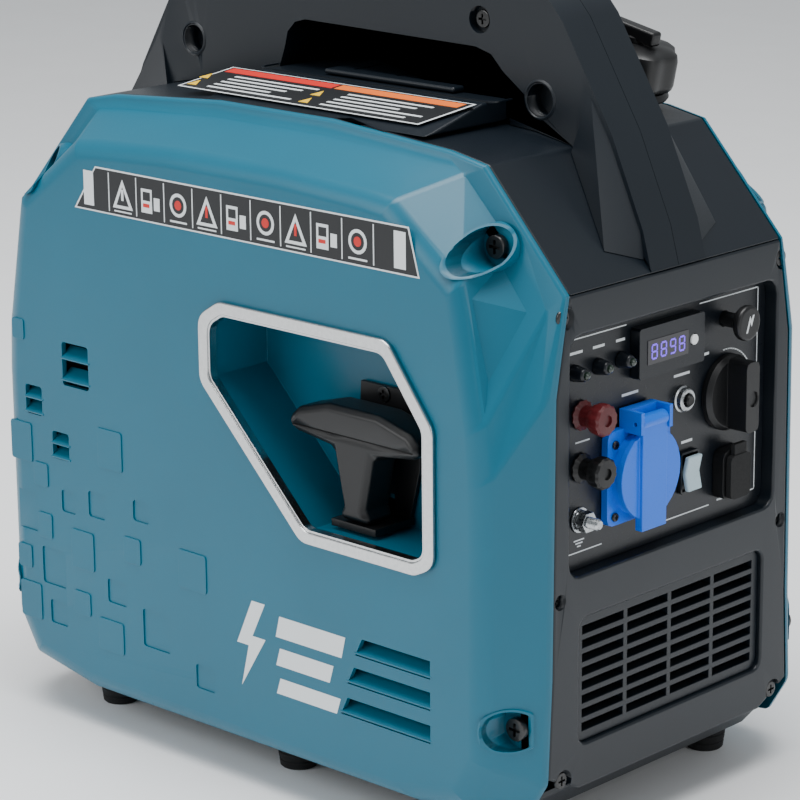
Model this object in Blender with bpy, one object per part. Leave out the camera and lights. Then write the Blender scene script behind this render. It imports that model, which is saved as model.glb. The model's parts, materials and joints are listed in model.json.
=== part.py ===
"""Portable inverter generator: a suitcase-sized petrol generating set.

Frame: +X is the control end, -Y the recoil starter side, +Z up, origin at the middle of
the ground under the feet. Units are metres. Each piece is one object with its own finish.
"""
import math

import bmesh
import bpy
from mathutils import Matrix, Vector

# Overall sizes
BODY_LENGTH = 0.404
BODY_WIDTH = 0.254
BODY_TOP = 0.366
HANDLE_TOP = 0.439
GROUND_CLEARANCE = 0.018

# Shared clearances and walls
GAP = 0.0003
RUNNING_CLEARANCE = 0.001
SHELL_WALL = 0.003
PANEL_THICKNESS = 0.003

# Black end frames, top cover and handle
FRAME_DEPTH = 0.024
SHOULDER_HEIGHT = 0.2975
TOP_HALF_WIDTH = 0.0855
FRAME_HALF_WIDTH = 0.096
FRAME_BOTTOM = 0.036
TOP_RAMP_LENGTH = 0.053
HANDLE_HALF_WIDTH = 0.022
HANDLE_OPENING = (-0.062, 0.107)
HANDLE_OPENING_TOP = 0.402
FLARE_HALF_WIDTH = 0.045
PLATEAU_TOP = 0.375
PLATEAU_HALF_WIDTH = 0.040
HATCH = (-0.020, 0.075)
HATCH_HALF_WIDTH = 0.030

# Control recess and intake grille in the front frame
RECESS_HALF_WIDTH = 0.084
RECESS_BOTTOM = 0.151
RECESS_TOP = 0.276
PANEL_DEPTH = 0.008
GRILLE_HALF_WIDTH = 0.076
GRILLE_BOTTOM = 0.060
GRILLE_TOP = 0.128
GRILLE_ROWS = 8
GRILLE_COLUMNS = 4

# Recoil starter
SURROUND_WIDTH = 0.008
RECOIL_DEPTH = 0.044
GUIDE_INSET = 0.021
GRIP_RISE = 0.048
PULL_ANGLE = math.radians(20)
GRIP_LENGTH = 0.096
PULLEY_RADIUS = 0.030

# Sockets, knobs and lamps: sizes, then places on the panel as (y, z)
SOCKET_FLANGE = 0.050
SOCKET_FLANGE_THICKNESS = 0.004
SOCKET_COLLAR = 0.0045
SOCKET_COLLAR_RADIUS = 0.0225
SOCKET_WELL = 0.0195
SOCKET_LID_RADIUS = 0.0237
SOCKET_LID_THICKNESS = 0.0035
LID_BAND_HALF_WIDTH = 0.0098
HINGE_LUG_WIDTH = 0.0025
LAMP_RADIUS = 0.0045
METER_SIZE = (0.053, 0.0265)
METER_DEPTH = 0.006
SWITCH_KNOB_RADIUS = 0.0205
SWITCH_HEIGHT = 0.018
CHOKE_KNOB_RADIUS = 0.0095
TERMINAL_RADIUS = 0.0085
OUTLET_SIZE = (0.0215, 0.0270)
SOCKET_CENTRE = (-0.0258, 0.1945)
LAMP_PLACES = (("run_lamp", -0.0720), ("overload_lamp", -0.0541), ("oil_lamp", -0.0363))
LAMP_Z = 0.2545
METER_CENTRE = (-0.0022, 0.2561)
METER_BUTTON = (0.0153, 0.2561)
RESET_PLACE = (0.0135, 0.2237)
ECO_PLACE = (0.0187, 0.1835)
SWITCH_PLACE = (0.0505, 0.2200)
CHOKE_PLACE = (0.0488, 0.2597)
OUTLET_PLACE = (0.0515, 0.1765)
TERMINALS = (("parallel_terminal_red", 0.2320), ("parallel_terminal_black", 0.2045))
TERMINAL_Y = -0.0670
EARTH_PLACE = (-0.0678, 0.1773)

# Service door in the far cover as (x0, x1, z0, z1), and the grille and pipe in the rear frame
DOOR = (-0.130, 0.040, 0.070, 0.235)
DOOR_THICKNESS = 0.0030
REAR_GRILLE_CENTRE = (0.0, 0.190)
REAR_GRILLE_SIZE = (0.140, 0.120)
REAR_GRILLE_ROWS = 7
REAR_GRILLE_COLUMNS = 3
EXHAUST_CENTRE = (0.040, 0.085)
EXHAUST_RADIUS = 0.016

# Fuel system
FUEL_CAP_CENTRE = Vector((0.118, 0.058, 0.372))
FUEL_CAP_RADIUS = 0.0255
FUEL_CAP_LEAN = math.radians(12)

# Engine and alternator
CRANK_AXIS = (0.040, 0.105)
CRANK_RADIUS = 0.010
FLYWHEEL_RADIUS = 0.058
FLYWHEEL_DEPTH = 0.024
CASE_FAR = 0.048
FILTER_INSET = 0.012
INVERTER_INSET = 0.021
FOOT_RADIUS = 0.0125
FOOT_PLACES = (-0.140, 0.008, 0.157)
FOOT_OFFSET = 0.086

BLACK_PLASTIC = ("25282C", 0.55, 0.0)
SOFT_BLACK = ("1B1D20", 0.75, 0.0)
TEAL_PLASTIC = ("2E8198", 0.45, 0.0)
POLISHED_STEEL = ("D8D6D2", 0.15, 1.0)
ZINC_STEEL = ("B9BCBE", 0.35, 1.0)
CAST_ALUMINIUM = ("A9ABAC", 0.5, 1.0)
BLUE_PLASTIC = ("0A8CEB", 0.35, 0.0)
GREY_PLASTIC = ("A9C3CC", 0.35, 0.0)
WHITE_PLASTIC = ("EDEDEB", 0.4, 0.0)
RED_PLASTIC = ("5A1518", 0.5, 0.0)
COPPER = ("8C4A22", 0.5, 1.0)
CERAMIC = ("E9E6DF", 0.3, 0.0)
ROPE = ("E8E4DA", 0.9, 0.0)


# ---------------------------------------------------------------- modelling helpers

def linear(channel):
    """One sRGB channel, 0 to 1, as a linear value."""
    return channel / 12.92 if channel <= 0.04045 else ((channel + 0.055) / 1.055) ** 2.4


def paint(obj, finish):
    """Give an object its own Principled material."""
    colour, roughness, metallic = finish
    material = bpy.data.materials.new(obj.name)
    material.use_nodes = True
    shader = material.node_tree.nodes["Principled BSDF"]
    rgb = [linear(int(colour[i:i + 2], 16) / 255) for i in (0, 2, 4)]
    shader.inputs["Base Color"].default_value = (*rgb, 1)
    shader.inputs["Roughness"].default_value = roughness
    shader.inputs["Metallic"].default_value = metallic
    obj.data.materials.append(material)


def make(name, bm, finish=BLACK_PLASTIC):
    """Turn a bmesh into a named, painted object."""
    bmesh.ops.recalc_face_normals(bm, faces=bm.faces)
    mesh = bpy.data.meshes.new(name)
    bm.to_mesh(mesh)
    bm.free()
    obj = bpy.data.objects.new(name, mesh)
    bpy.context.collection.objects.link(obj)
    paint(obj, finish)
    return obj


def place_on(axis, across, up, along):
    """A point from plane coordinates: x takes (y, z), y takes (x, z), z takes (x, y)."""
    if axis == "x":
        return Vector((along, across, up))
    if axis == "y":
        return Vector((across, along, up))
    return Vector((across, up, along))


def prism(name, outline, axis, low, high, finish=BLACK_PLASTIC):
    """A flat outline pushed out along an axis between two planes."""
    bm = bmesh.new()
    bottom = [bm.verts.new(place_on(axis, a, b, low)) for a, b in outline]
    top = [bm.verts.new(place_on(axis, a, b, high)) for a, b in outline]
    bm.faces.new(bottom)
    bm.faces.new(top[::-1])
    for i in range(len(outline)):
        j = (i + 1) % len(outline)
        bm.faces.new((bottom[i], bottom[j], top[j], top[i]))
    return make(name, bm, finish)


def block(name, low, high, finish=BLACK_PLASTIC):
    """A box between two corners."""
    outline = [(low[0], low[1]), (high[0], low[1]), (high[0], high[1]), (low[0], high[1])]
    return prism(name, outline, "z", low[2], high[2], finish)


def turned(name, profile, axis, centre, finish=BLACK_PLASTIC, sides=24, ring=False):
    """A profile of (radius, distance along the axis) turned about an axis.

    A solid starts and ends at radius 0; a ring's profile closes on itself.
    """
    bm = bmesh.new()
    rows = []
    for radius, along in profile:
        count = sides if radius > 0 else 1
        angles = [2 * math.pi * k / sides for k in range(count)]
        rows.append([bm.verts.new(place_on(axis, centre[0] + radius * math.cos(t),
                                           centre[1] + radius * math.sin(t), along))
                     for t in angles])
    pairs = list(zip(rows, rows[1:] + rows[:1])) if ring else list(zip(rows, rows[1:]))
    for row, following in pairs:
        for k in range(sides):
            n = (k + 1) % sides
            corners = [row[k % len(row)], row[n % len(row)],
                       following[n % len(following)], following[k % len(following)]]
            kept = [v for i, v in enumerate(corners) if v not in corners[:i]]
            bm.faces.new(kept)
    return make(name, bm, finish)


def rod(name, axis, centre, radius, low, high, finish=BLACK_PLASTIC, sides=24):
    """A plain round bar along an axis."""
    profile = [(0, low), (radius, low), (radius, high), (0, high)]
    return turned(name, profile, axis, centre, finish, sides)


def rounded(width, height, radius, centre=(0, 0), steps=3):
    """The outline of a rectangle with round corners."""
    points = []
    corners = ((1, 1), (-1, 1), (-1, -1), (1, -1))
    for quarter, (sx, sy) in enumerate(corners):
        cx = centre[0] + sx * (width / 2 - radius)
        cy = centre[1] + sy * (height / 2 - radius)
        for k in range(steps + 1):
            angle = math.pi / 2 * (quarter + k / steps)
            points.append((cx + radius * math.cos(angle), cy + radius * math.sin(angle)))
    return points


def grown(outline, distance):
    """A convex outline moved outwards by a distance; a negative one moves it inwards."""
    area = sum(a[0] * b[1] - b[0] * a[1] for a, b in zip(outline, outline[1:] + outline[:1]))
    turn = 1 if area > 0 else -1
    moved = []
    for i, point in enumerate(outline):
        before = Vector(point) - Vector(outline[i - 1])
        after = Vector(outline[(i + 1) % len(outline)]) - Vector(point)
        n1 = Vector((before.y, -before.x)).normalized() * turn
        n2 = Vector((after.y, -after.x)).normalized() * turn
        mitre = (n1 + n2) / (1 + n1.dot(n2))
        moved.append(tuple(Vector(point) + mitre * distance))
    return moved


def combine(target, tool, operation):
    """Add or take away a hidden tool with a Boolean modifier."""
    tool.hide_render = True
    tool.display_type = "WIRE"
    modifier = target.modifiers.new(operation.lower(), "BOOLEAN")
    modifier.operation = operation
    modifier.solver = "EXACT"
    modifier.object = tool
    return target


def cut(target, *tools):
    for tool in tools:
        combine(target, tool, "DIFFERENCE")
    return target


def weld(target, *tools):
    for tool in tools:
        combine(target, tool, "UNION")
    return target


def soften(obj, width, segments=1):
    """Break the sharp edges of a moulding."""
    modifier = obj.modifiers.new("edges", "BEVEL")
    modifier.width = width
    modifier.segments = segments
    modifier.limit_method = "ANGLE"
    modifier.angle_limit = math.radians(40)
    return obj


def pivot_at(obj, point):
    """Put an object's origin on its joint axis and leave its shape where it is."""
    obj.data.transform(Matrix.Translation(-Vector(point)))
    obj.location = point
    return obj


# ---------------------------------------------------------------- outlines shared by pieces

HALF_LENGTH = BODY_LENGTH / 2
HALF_WIDTH = BODY_WIDTH / 2
RAMP_TOP = BODY_TOP - 0.0105
PANEL_FACE = HALF_LENGTH - PANEL_DEPTH
GUIDE = Vector((0.082, -HALF_WIDTH + GUIDE_INSET, 0.163))
STARTER_BACK = -HALF_WIDTH + RECOIL_DEPTH
CRANK_NOSE = STARTER_BACK + 0.018
FLYWHEEL_FACE = CRANK_NOSE + 0.012
CASE_NEAR = FLYWHEEL_FACE + FLYWHEEL_DEPTH + 0.007
FITTING_FACE = PANEL_FACE + GAP
CONTROL_REACH = FITTING_FACE + SWITCH_HEIGHT
SOCKET_FACE = FITTING_FACE + SOCKET_FLANGE_THICKNESS
LID_HINGE = (SOCKET_FACE + 0.0075, SOCKET_CENTRE[1] + 0.0285)
RECESS_CENTRE = (0.0, (RECESS_BOTTOM + RECESS_TOP) / 2)
RECESS_SIZE = (2 * RECESS_HALF_WIDTH, RECESS_TOP - RECESS_BOTTOM)
GRILLE_CENTRE = (0.0, (GRILLE_BOTTOM + GRILLE_TOP) / 2)
GRILLE_SIZE = (2 * GRILLE_HALF_WIDTH, GRILLE_TOP - GRILLE_BOTTOM)


def mirrored_front_to_back(points):
    return points + [(-x, *rest) for x, *rest in reversed(points)]


def crown_line(wall=0.0):
    """The top of the body seen from the side, front to back: ramp, crown and ramp.

    With a wall, the line runs that far inside the skin and ends level with the shoulders.
    """
    ramp = [(HALF_LENGTH - 1.45 * wall, SHOULDER_HEIGHT),
            (HALF_LENGTH - TOP_RAMP_LENGTH - wall / 2, RAMP_TOP - wall),
            (HALF_LENGTH - TOP_RAMP_LENGTH - 0.024, BODY_TOP - 0.006 - wall),
            (0.042, BODY_TOP - wall)]
    return mirrored_front_to_back(ramp)


def frame_outline():
    """The end frames seen from the end: narrow shoulders, straight sides, clipped feet."""
    right = [(TOP_HALF_WIDTH, SHOULDER_HEIGHT), (FRAME_HALF_WIDTH - 0.001, 0.247),
             (FRAME_HALF_WIDTH + 0.001, 0.101), (FRAME_HALF_WIDTH + 0.004, FRAME_BOTTOM + 0.012),
             (TOP_HALF_WIDTH - 0.010, FRAME_BOTTOM)]
    return right + [(-y, z) for y, z in reversed(right)]


def recoil_outline():
    """The seven-sided hole for the recoil grip in the near cover, as (x, z)."""
    return [(-0.001, 0.266), (0.118, 0.266), (0.147, 0.228), (0.147, 0.159),
            (0.137, 0.154), (0.058, 0.154), (-0.014, 0.226), (-0.014, 0.258)]


# ---------------------------------------------------------------- side covers

def shell_rings(side):
    """Rings of (x, y, z) from the seam outwards: seam edge, crease and side face."""
    seam_y = TOP_HALF_WIDTH + SHELL_WALL
    edge = FRAME_HALF_WIDTH + SHELL_WALL
    top = BODY_TOP
    shoulder = SHOULDER_HEIGHT
    foot = GROUND_CLEARANCE
    front = HALF_LENGTH
    seam = [(front, edge - 0.001, 0.247), (front, seam_y, shoulder),
            (front - TOP_RAMP_LENGTH / 2, seam_y, (shoulder + RAMP_TOP) / 2),
            (front - TOP_RAMP_LENGTH, seam_y, RAMP_TOP),
            (front - TOP_RAMP_LENGTH - 0.024, seam_y, top - 0.006), (0.042, seam_y, top)]
    crease = [(front - 0.003, edge + 0.0025, 0.245), (front - 0.009, seam_y + 0.003, shoulder - 0.009),
              (front - 0.038, seam_y + 0.002, shoulder + 0.026),
              (front - 0.065, seam_y + 0.002, RAMP_TOP - 0.005),
              (front - 0.087, seam_y + 0.002, top - 0.013), (0.042, seam_y + 0.002, top - 0.0085)]
    face = [(front - 0.022, HALF_WIDTH, 0.200), (front - 0.024, HALF_WIDTH, shoulder - 0.070),
            (front - 0.037, HALF_WIDTH, shoulder + 0.004),
            (front - 0.085, HALF_WIDTH, top - 0.028),
            (front - 0.102, HALF_WIDTH, top - 0.026), (0.042, HALF_WIDTH, top - 0.023)]
    seam_low = [(0.120, edge + 0.004, foot), (front - 0.012, edge + 0.004, foot + 0.008),
                (front, edge + 0.004, foot + 0.028), (front, edge + 0.001, 0.101)]
    crease_low = [(0.120, edge + 0.008, foot), (front - 0.016, edge + 0.008, foot + 0.008),
                  (front - 0.004, edge + 0.0075, foot + 0.030), (front - 0.003, edge + 0.0045, 0.101)]
    face_low = [(0.120, HALF_WIDTH, foot + 0.007), (front - 0.037, HALF_WIDTH, foot + 0.016),
                (front - 0.022, HALF_WIDTH, foot + 0.040), (front - 0.022, HALF_WIDTH, 0.101)]
    rings = []
    for upper, lower in ((seam, seam_low), (crease, crease_low), (face, face_low)):
        forward = lower + upper
        ring = forward + [(-x, y, z) for x, y, z in reversed(forward)]
        rings.append([Vector((x, side * y, z)) for x, y, z in ring])
    return rings


def pulled_in(point, side, amount):
    """A point of the outer skin moved inwards by the wall along each axis."""
    middle = BODY_TOP / 2
    return Vector((point.x - math.copysign(amount, point.x), point.y - side * SHELL_WALL,
                   point.z - math.copysign(amount, point.z - middle)))


def side_cover(name, side):
    """A moulded half shell: the seam edge, crease and side face with an even wall."""
    seam, crease, face = shell_rings(side)
    layers = [face, crease, seam,
              [pulled_in(p, side, 0) for p in seam],
              [pulled_in(p, side, SHELL_WALL) for p in crease],
              [pulled_in(p, side, SHELL_WALL) for p in face]]
    bm = bmesh.new()
    rows = [[bm.verts.new(p) for p in layer] for layer in layers]
    for row, following in zip(rows, rows[1:]):
        for i in range(len(row)):
            j = (i + 1) % len(row)
            bm.faces.new((row[i], row[j], following[j], following[i]))
    bm.faces.new(rows[0])
    bm.faces.new(rows[-1][::-1])
    return make(name, bm, TEAL_PLASTIC)


def build_near_cover():
    """The recoil side cover, with its hole for the grip and three cooling louvres."""
    cover = side_cover("near_side_cover", -1)
    outside = -HALF_WIDTH - SHELL_WALL
    hole = prism("near_hole", recoil_outline(), "y", outside, outside + 4 * SHELL_WALL)
    cut(cover, hole)
    for k in range(3):
        low = 0.0990 - 0.0175 * k
        slot = prism(f"louvre_{k}", [(0.100, low), (0.146, low), (0.146, low + 0.005),
                                     (0.098, low + 0.005)],
                     "y", outside, outside + 4 * SHELL_WALL)
        cut(cover, slot)


def build_service_door():
    """The lift-off door over the oil filler and air filter, with a lip behind its top edge."""
    x0, x1, z0, z1 = DOOR
    outline = rounded(x1 - x0, z1 - z0, 0.012, ((x0 + x1) / 2, (z0 + z1) / 2))
    door = prism("service_door", outline, "y", HALF_WIDTH + GAP, HALF_WIDTH + DOOR_THICKNESS,
                 TEAL_PLASTIC)
    inner = rounded(x1 - x0 - 0.014, z1 - z0 - 0.014, 0.006, ((x0 + x1) / 2, (z0 + z1) / 2))
    rim = prism("door_rim", inner, "y", HALF_WIDTH - SHELL_WALL, HALF_WIDTH + 0.001)
    weld(door, rim)


def build_far_cover():
    """The service side cover, with louvres over the air filter and the inverter."""
    cover = side_cover("far_side_cover", 1)
    x0, x1, z0, z1 = DOOR
    window = prism("door_window", rounded(x1 - x0 - 0.012, z1 - z0 - 0.012, 0.007,
                                          ((x0 + x1) / 2, (z0 + z1) / 2)),
                   "y", HALF_WIDTH - 2 * SHELL_WALL, HALF_WIDTH + SHELL_WALL)
    cut(cover, window)
    for k in range(5):
        low = 0.080 + 0.016 * k
        slot = block(f"far_louvre_{k}", (0.060, HALF_WIDTH - 2 * SHELL_WALL, low),
                     (0.140, HALF_WIDTH + SHELL_WALL, low + 0.006))
        cut(cover, slot)


# ---------------------------------------------------------------- end frames and grilles

def framed_end(name, side, openings):
    """A black end frame with holes through it, each given as an outline in (y, z)."""
    outer = HALF_LENGTH
    inner = outer - FRAME_DEPTH
    outline = grown(frame_outline(), -GAP)
    frame = prism(name, outline, "x", side * inner, side * outer)
    for k, opening in enumerate(openings):
        hole = prism(f"{name}_hole_{k}", opening, "x", side * (inner - SHELL_WALL),
                     side * (outer + SHELL_WALL))
        cut(frame, hole)
    return frame


def build_front_frame():
    recess = rounded(*RECESS_SIZE, 0.008, RECESS_CENTRE)
    grille = rounded(*GRILLE_SIZE, 0.006, GRILLE_CENTRE)
    framed_end("front_frame", 1, [recess, grille])


def build_control_panel():
    """The instrument plate at the back of the recess, with holes for what it carries."""
    size = (RECESS_SIZE[0] - 2 * GAP, RECESS_SIZE[1] - 2 * GAP)
    outline = rounded(*size, 0.008, RECESS_CENTRE)
    panel = prism("control_panel", outline, "x", PANEL_FACE - PANEL_THICKNESS, PANEL_FACE)
    for name, y, z, radius in panel_holes():
        hole = rod(f"panel_hole_{name}", "x", (y, z), radius, PANEL_FACE - 4 * PANEL_THICKNESS,
                   PANEL_FACE + PANEL_THICKNESS, sides=16)
        cut(panel, hole)


def slatted(name, side, centre, size, rows, columns):
    """A grille of level bars and upright ribs, cut from one plate."""
    outer = side * (HALF_LENGTH - 0.003)
    inner = side * (HALF_LENGTH - 0.009)
    plate = prism(name, rounded(size[0] - 2 * GAP, size[1] - 2 * GAP, 0.006, centre), "x",
                  inner, outer)
    border = 0.004
    rib = 0.003
    pitch_y = (size[0] - 2 * border) / columns
    pitch_z = (size[1] - 2 * border) / rows
    for column in range(columns):
        for row in range(rows):
            y = centre[0] - size[0] / 2 + border + pitch_y * (column + 0.5)
            z = centre[1] - size[1] / 2 + border + pitch_z * (row + 0.5)
            slot = block(f"{name}_slot_{column}_{row}",
                         (min(inner, outer) - rib, y - pitch_y / 2 + rib / 2, z - pitch_z / 2 + rib / 2),
                         (max(inner, outer) + rib, y + pitch_y / 2 - rib / 2, z + pitch_z / 2 - rib / 2))
            cut(plate, slot)


def build_front_grille():
    slatted("front_grille", 1, GRILLE_CENTRE, GRILLE_SIZE, GRILLE_ROWS, GRILLE_COLUMNS)


def build_rear_frame():
    grille = rounded(*REAR_GRILLE_SIZE, 0.006, REAR_GRILLE_CENTRE)
    pipe = rounded(2 * EXHAUST_RADIUS + 0.004, 2 * EXHAUST_RADIUS + 0.004,
                   EXHAUST_RADIUS + 0.002, EXHAUST_CENTRE, steps=4)
    framed_end("rear_frame", -1, [grille, pipe])


def build_rear_grille():
    slatted("rear_grille", -1, REAR_GRILLE_CENTRE, REAR_GRILLE_SIZE, REAR_GRILLE_ROWS,
            REAR_GRILLE_COLUMNS)


# ---------------------------------------------------------------- top cover, hatch and handle

def build_top_cover():
    """The bridge between the side covers: an arched skin, and a plateau under the hand grip."""
    cover = prism("top_cover", crown_line() + crown_line(SHELL_WALL)[::-1], "y",
                  -TOP_HALF_WIDTH + GAP, TOP_HALF_WIDTH - GAP)
    clear = 0.0025
    low, edge = BODY_TOP - 0.0025, TOP_HALF_WIDTH - 0.0015
    plateau = prism("plateau", [(-edge, low), (edge, low), (PLATEAU_HALF_WIDTH, PLATEAU_TOP),
                                (-PLATEAU_HALF_WIDTH, PLATEAU_TOP)],
                    "x", HANDLE_OPENING[0] + clear, HANDLE_OPENING[1] - clear)
    weld(cover, plateau)
    neck = rod("neck_hole", "z", FUEL_CAP_CENTRE.xy, 0.019, 0.30, 0.40)
    hatch = block("hatch_hole", (HATCH[0] + 0.004, -HATCH_HALF_WIDTH + 0.004, BODY_TOP - 0.02),
                  (HATCH[1] - 0.004, HATCH_HALF_WIDTH - 0.004, PLATEAU_TOP + 0.02))
    cut(cover, neck, hatch)


def build_hatch():
    """The spark plug hatch: a lid on the plateau with a skirt down into its hole."""
    lid = block("plug_hatch", (HATCH[0], -HATCH_HALF_WIDTH, PLATEAU_TOP + 2 * GAP),
                (HATCH[1], HATCH_HALF_WIDTH, PLATEAU_TOP + 0.0035), BLACK_PLASTIC)
    skirt = block("hatch_skirt", (HATCH[0] + 0.005, -HATCH_HALF_WIDTH + 0.005, PLATEAU_TOP - 0.004),
                  (HATCH[1] - 0.005, HATCH_HALF_WIDTH - 0.005, PLATEAU_TOP + 0.002))
    weld(lid, skirt)


def arc(centre, radius, start, end, steps):
    return [(centre[0] + radius * math.cos(math.radians(start + (end - start) * k / steps)),
             centre[1] + radius * math.sin(math.radians(start + (end - start) * k / steps)))
            for k in range(steps + 1)]


def crown_height(x):
    """The height of the body's top skin at a distance from the middle."""
    line = crown_line()
    for (x1, z1), (x0, z0) in zip(line, line[1:]):
        if x0 <= x <= x1:
            return z0 + (z1 - z0) * (x - x0) / (x1 - x0)
    return SHOULDER_HEIGHT


def handle_outline():
    """The handle from the side: a grip between two legs that run down over the ramps."""
    lift = 1.5 * GAP
    front, rear = HANDLE_OPENING[1], HANDLE_OPENING[0]
    toe = HALF_LENGTH - 0.0010
    front_leg = [(toe, SHOULDER_HEIGHT + 0.0030), (toe - 0.0050, SHOULDER_HEIGHT + 0.0210),
                 (toe - 0.0255, BODY_TOP - 0.0020), (toe - 0.0450, BODY_TOP + 0.0300)]
    rear_leg = [(-x, z) for x, z in reversed(front_leg)]
    grip = arc((front - 0.004, HANDLE_TOP - 0.048), 0.048, 35, 90, 4)
    grip += arc((rear - 0.040, HANDLE_TOP - 0.050), 0.050, 90, 145, 4)
    seat = [(x, z + lift * 1.2) for x, z in crown_line()]
    behind = [(x, z) for x, z in reversed(seat) if x < rear]
    ahead = [(x, z) for x, z in reversed(seat) if x > front]
    inside = [(rear - 0.004, crown_height(rear - 0.004) + lift)]
    inside += arc((rear + 0.020, HANDLE_OPENING_TOP - 0.016), 0.016, 180, 90, 3)
    inside += arc((front - 0.024, HANDLE_OPENING_TOP - 0.024), 0.022, 90, 0, 3)
    inside += [(front, crown_height(front) + lift)]
    return front_leg + grip + rear_leg + behind + inside + ahead


def flare(name, side, end):
    """The skirt that widens a leg of the handle towards the foot of its ramp."""
    inner = HANDLE_HALF_WIDTH - 0.001
    foot = HALF_LENGTH - 0.005
    shoulder = HALF_LENGTH - TOP_RAMP_LENGTH + 0.0025
    on_ramp = [(foot, inner), (foot - 0.007, FLARE_HALF_WIDTH),
               (shoulder, HANDLE_HALF_WIDTH + 0.0035), (shoulder, inner)]
    corners = [(x, y, crown_height(x) + 2 * GAP) for x, y in on_ramp]
    corners += [(HALF_LENGTH - 0.0075, inner, SHOULDER_HEIGHT + 0.0200),
                (HALF_LENGTH - 0.0280, inner, BODY_TOP - 0.0040),
                (HALF_LENGTH - 0.0420, inner, BODY_TOP + 0.0190)]
    bm = bmesh.new()
    for x, y, z in corners:
        bm.verts.new((end * x, side * y, z))
    bmesh.ops.convex_hull(bm, input=bm.verts)
    return make(name, bm)


def handle_half(name, side):
    """One moulding of the two that meet along the middle of the handle."""
    inner = side * GAP / 2
    outer = side * HANDLE_HALF_WIDTH
    half = prism(name, handle_outline(), "y", inner, outer)
    weld(half, flare(f"{name}_front_flare", side, 1), flare(f"{name}_rear_flare", side, -1))


def build_handle():
    handle_half("handle_near_half", -1)
    handle_half("handle_far_half", 1)


# ---------------------------------------------------------------- base and feet

def build_base():
    """The tray between the side covers that carries the engine, its ends turned up."""
    low = GROUND_CLEARANCE - 0.002
    half_width = FRAME_HALF_WIDTH
    flat = 0.176
    end = HALF_LENGTH - FRAME_DEPTH / 2
    under = [(flat, low), (end, FRAME_BOTTOM - 0.004)]
    over = [(end, FRAME_BOTTOM - GAP), (flat - 0.002, low + 0.004)]
    profile = under + over + [(-x, z) for x, z in reversed(under + over)]
    tray = prism("base_pan", profile, "y", -half_width, half_width, BLACK_PLASTIC)
    rib_height = low + 0.014
    for k, x in enumerate((-0.090, 0.100)):
        rib = block(f"pan_rib_{k}", (x, -0.070, low + 0.002), (x + 0.010, 0.070, rib_height))
        weld(tray, rib)


def build_feet():
    """Rubber feet in two rows under the tray."""
    top = GROUND_CLEARANCE - 0.002 - GAP
    rows = (("near", -FOOT_OFFSET), ("far", FOOT_OFFSET))
    names = ("rear", "middle", "front")
    profile = [(0, 0), (FOOT_RADIUS - 0.0015, 0), (FOOT_RADIUS, 0.002),
               (FOOT_RADIUS - 0.002, top), (0, top)]
    for label, y in rows:
        for place, x in zip(names, FOOT_PLACES):
            turned(f"foot_{label}_{place}", profile, "z", (x, y), SOFT_BLACK, sides=16)


# ---------------------------------------------------------------- recoil starter

def build_surround():
    """The polished trim that frames the recoil hole."""
    outside = grown(recoil_outline(), SURROUND_WIDTH / 2)
    inside = grown(recoil_outline(), -SURROUND_WIDTH / 2)
    proud = -HALF_WIDTH - 0.003
    ring = prism("recoil_surround", outside, "y", proud, -HALF_WIDTH - GAP, POLISHED_STEEL)
    middle = prism("surround_hole", inside, "y", proud - 0.01, -HALF_WIDTH + 0.01)
    cut(ring, middle)


def build_recess():
    """The teal tub behind the hole, that the grip rests in."""
    outline = grown(recoil_outline(), -GAP)
    mouth = -HALF_WIDTH + GAP
    back = mouth + RECOIL_DEPTH
    tub = prism("recoil_recess", outline, "y", mouth, back, TEAL_PLASTIC)
    inside = prism("recess_inside", grown(recoil_outline(), -0.0025), "y", mouth - 0.01,
                   back - 0.0025)
    slot = block("rope_slot", (GUIDE.x - 0.006, back - 0.01, GUIDE.z - 0.008),
                 (GUIDE.x + 0.006, back + 0.01, GUIDE.z + 0.006))
    cut(tub, inside, slot)


def build_backplate():
    """The black guide plate in the tub, with the rope eye that the grip sits on."""
    back = -HALF_WIDTH + RECOIL_DEPTH - 0.0025
    foot = GUIDE.z - 0.0045
    outline = [(-0.020, 0), (0.014, 0), (0.022, 0.032), (0.022, 0.072), (-0.020, 0.072),
               (-0.022, 0.042)]
    plate = prism("recoil_guide", [(GUIDE.x + x, foot + z) for x, z in outline],
                  "y", back - 0.003, back - GAP, SOFT_BLACK)
    shelf = block("guide_shelf", (GUIDE.x - 0.016, GUIDE.y - 0.010, foot),
                  (GUIDE.x + 0.016, back - 0.001, GUIDE.z - 0.0005))
    eye = block("guide_eye", (GUIDE.x - 0.0035, GUIDE.y - 0.0035, 0.15),
                (GUIDE.x + 0.0035, back + 0.01, GUIDE.z + 0.010))
    weld(plate, shelf)
    cut(plate, eye)


def build_grip():
    """The T-shaped pull: a crowned bar on a stem that flares out to its foot."""
    top = GUIDE.z + GRIP_RISE
    half = GRIP_LENGTH / 2
    bar = prism("recoil_grip", [(-half, top), (-half + 0.004, top - 0.006), (-0.014, top - 0.010),
                                (-0.008, GUIDE.z + 0.008), (-0.012, GUIDE.z + GAP),
                                (0.012, GUIDE.z + GAP), (0.008, GUIDE.z + 0.008),
                                (0.014, top - 0.010), (half - 0.004, top - 0.006), (half, top),
                                (half - 0.008, top + 0.007), (0.018, top + 0.013),
                                (-0.018, top + 0.013), (-half + 0.008, top + 0.007)],
                "y", GUIDE.y - 0.011, GUIDE.y + 0.011, SOFT_BLACK)
    bar.data.transform(Matrix.Translation((GUIDE.x, 0, 0)))
    soften(bar, 0.003)
    pivot_at(bar, (GUIDE.x, GUIDE.y, GUIDE.z + 0.040))


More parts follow.
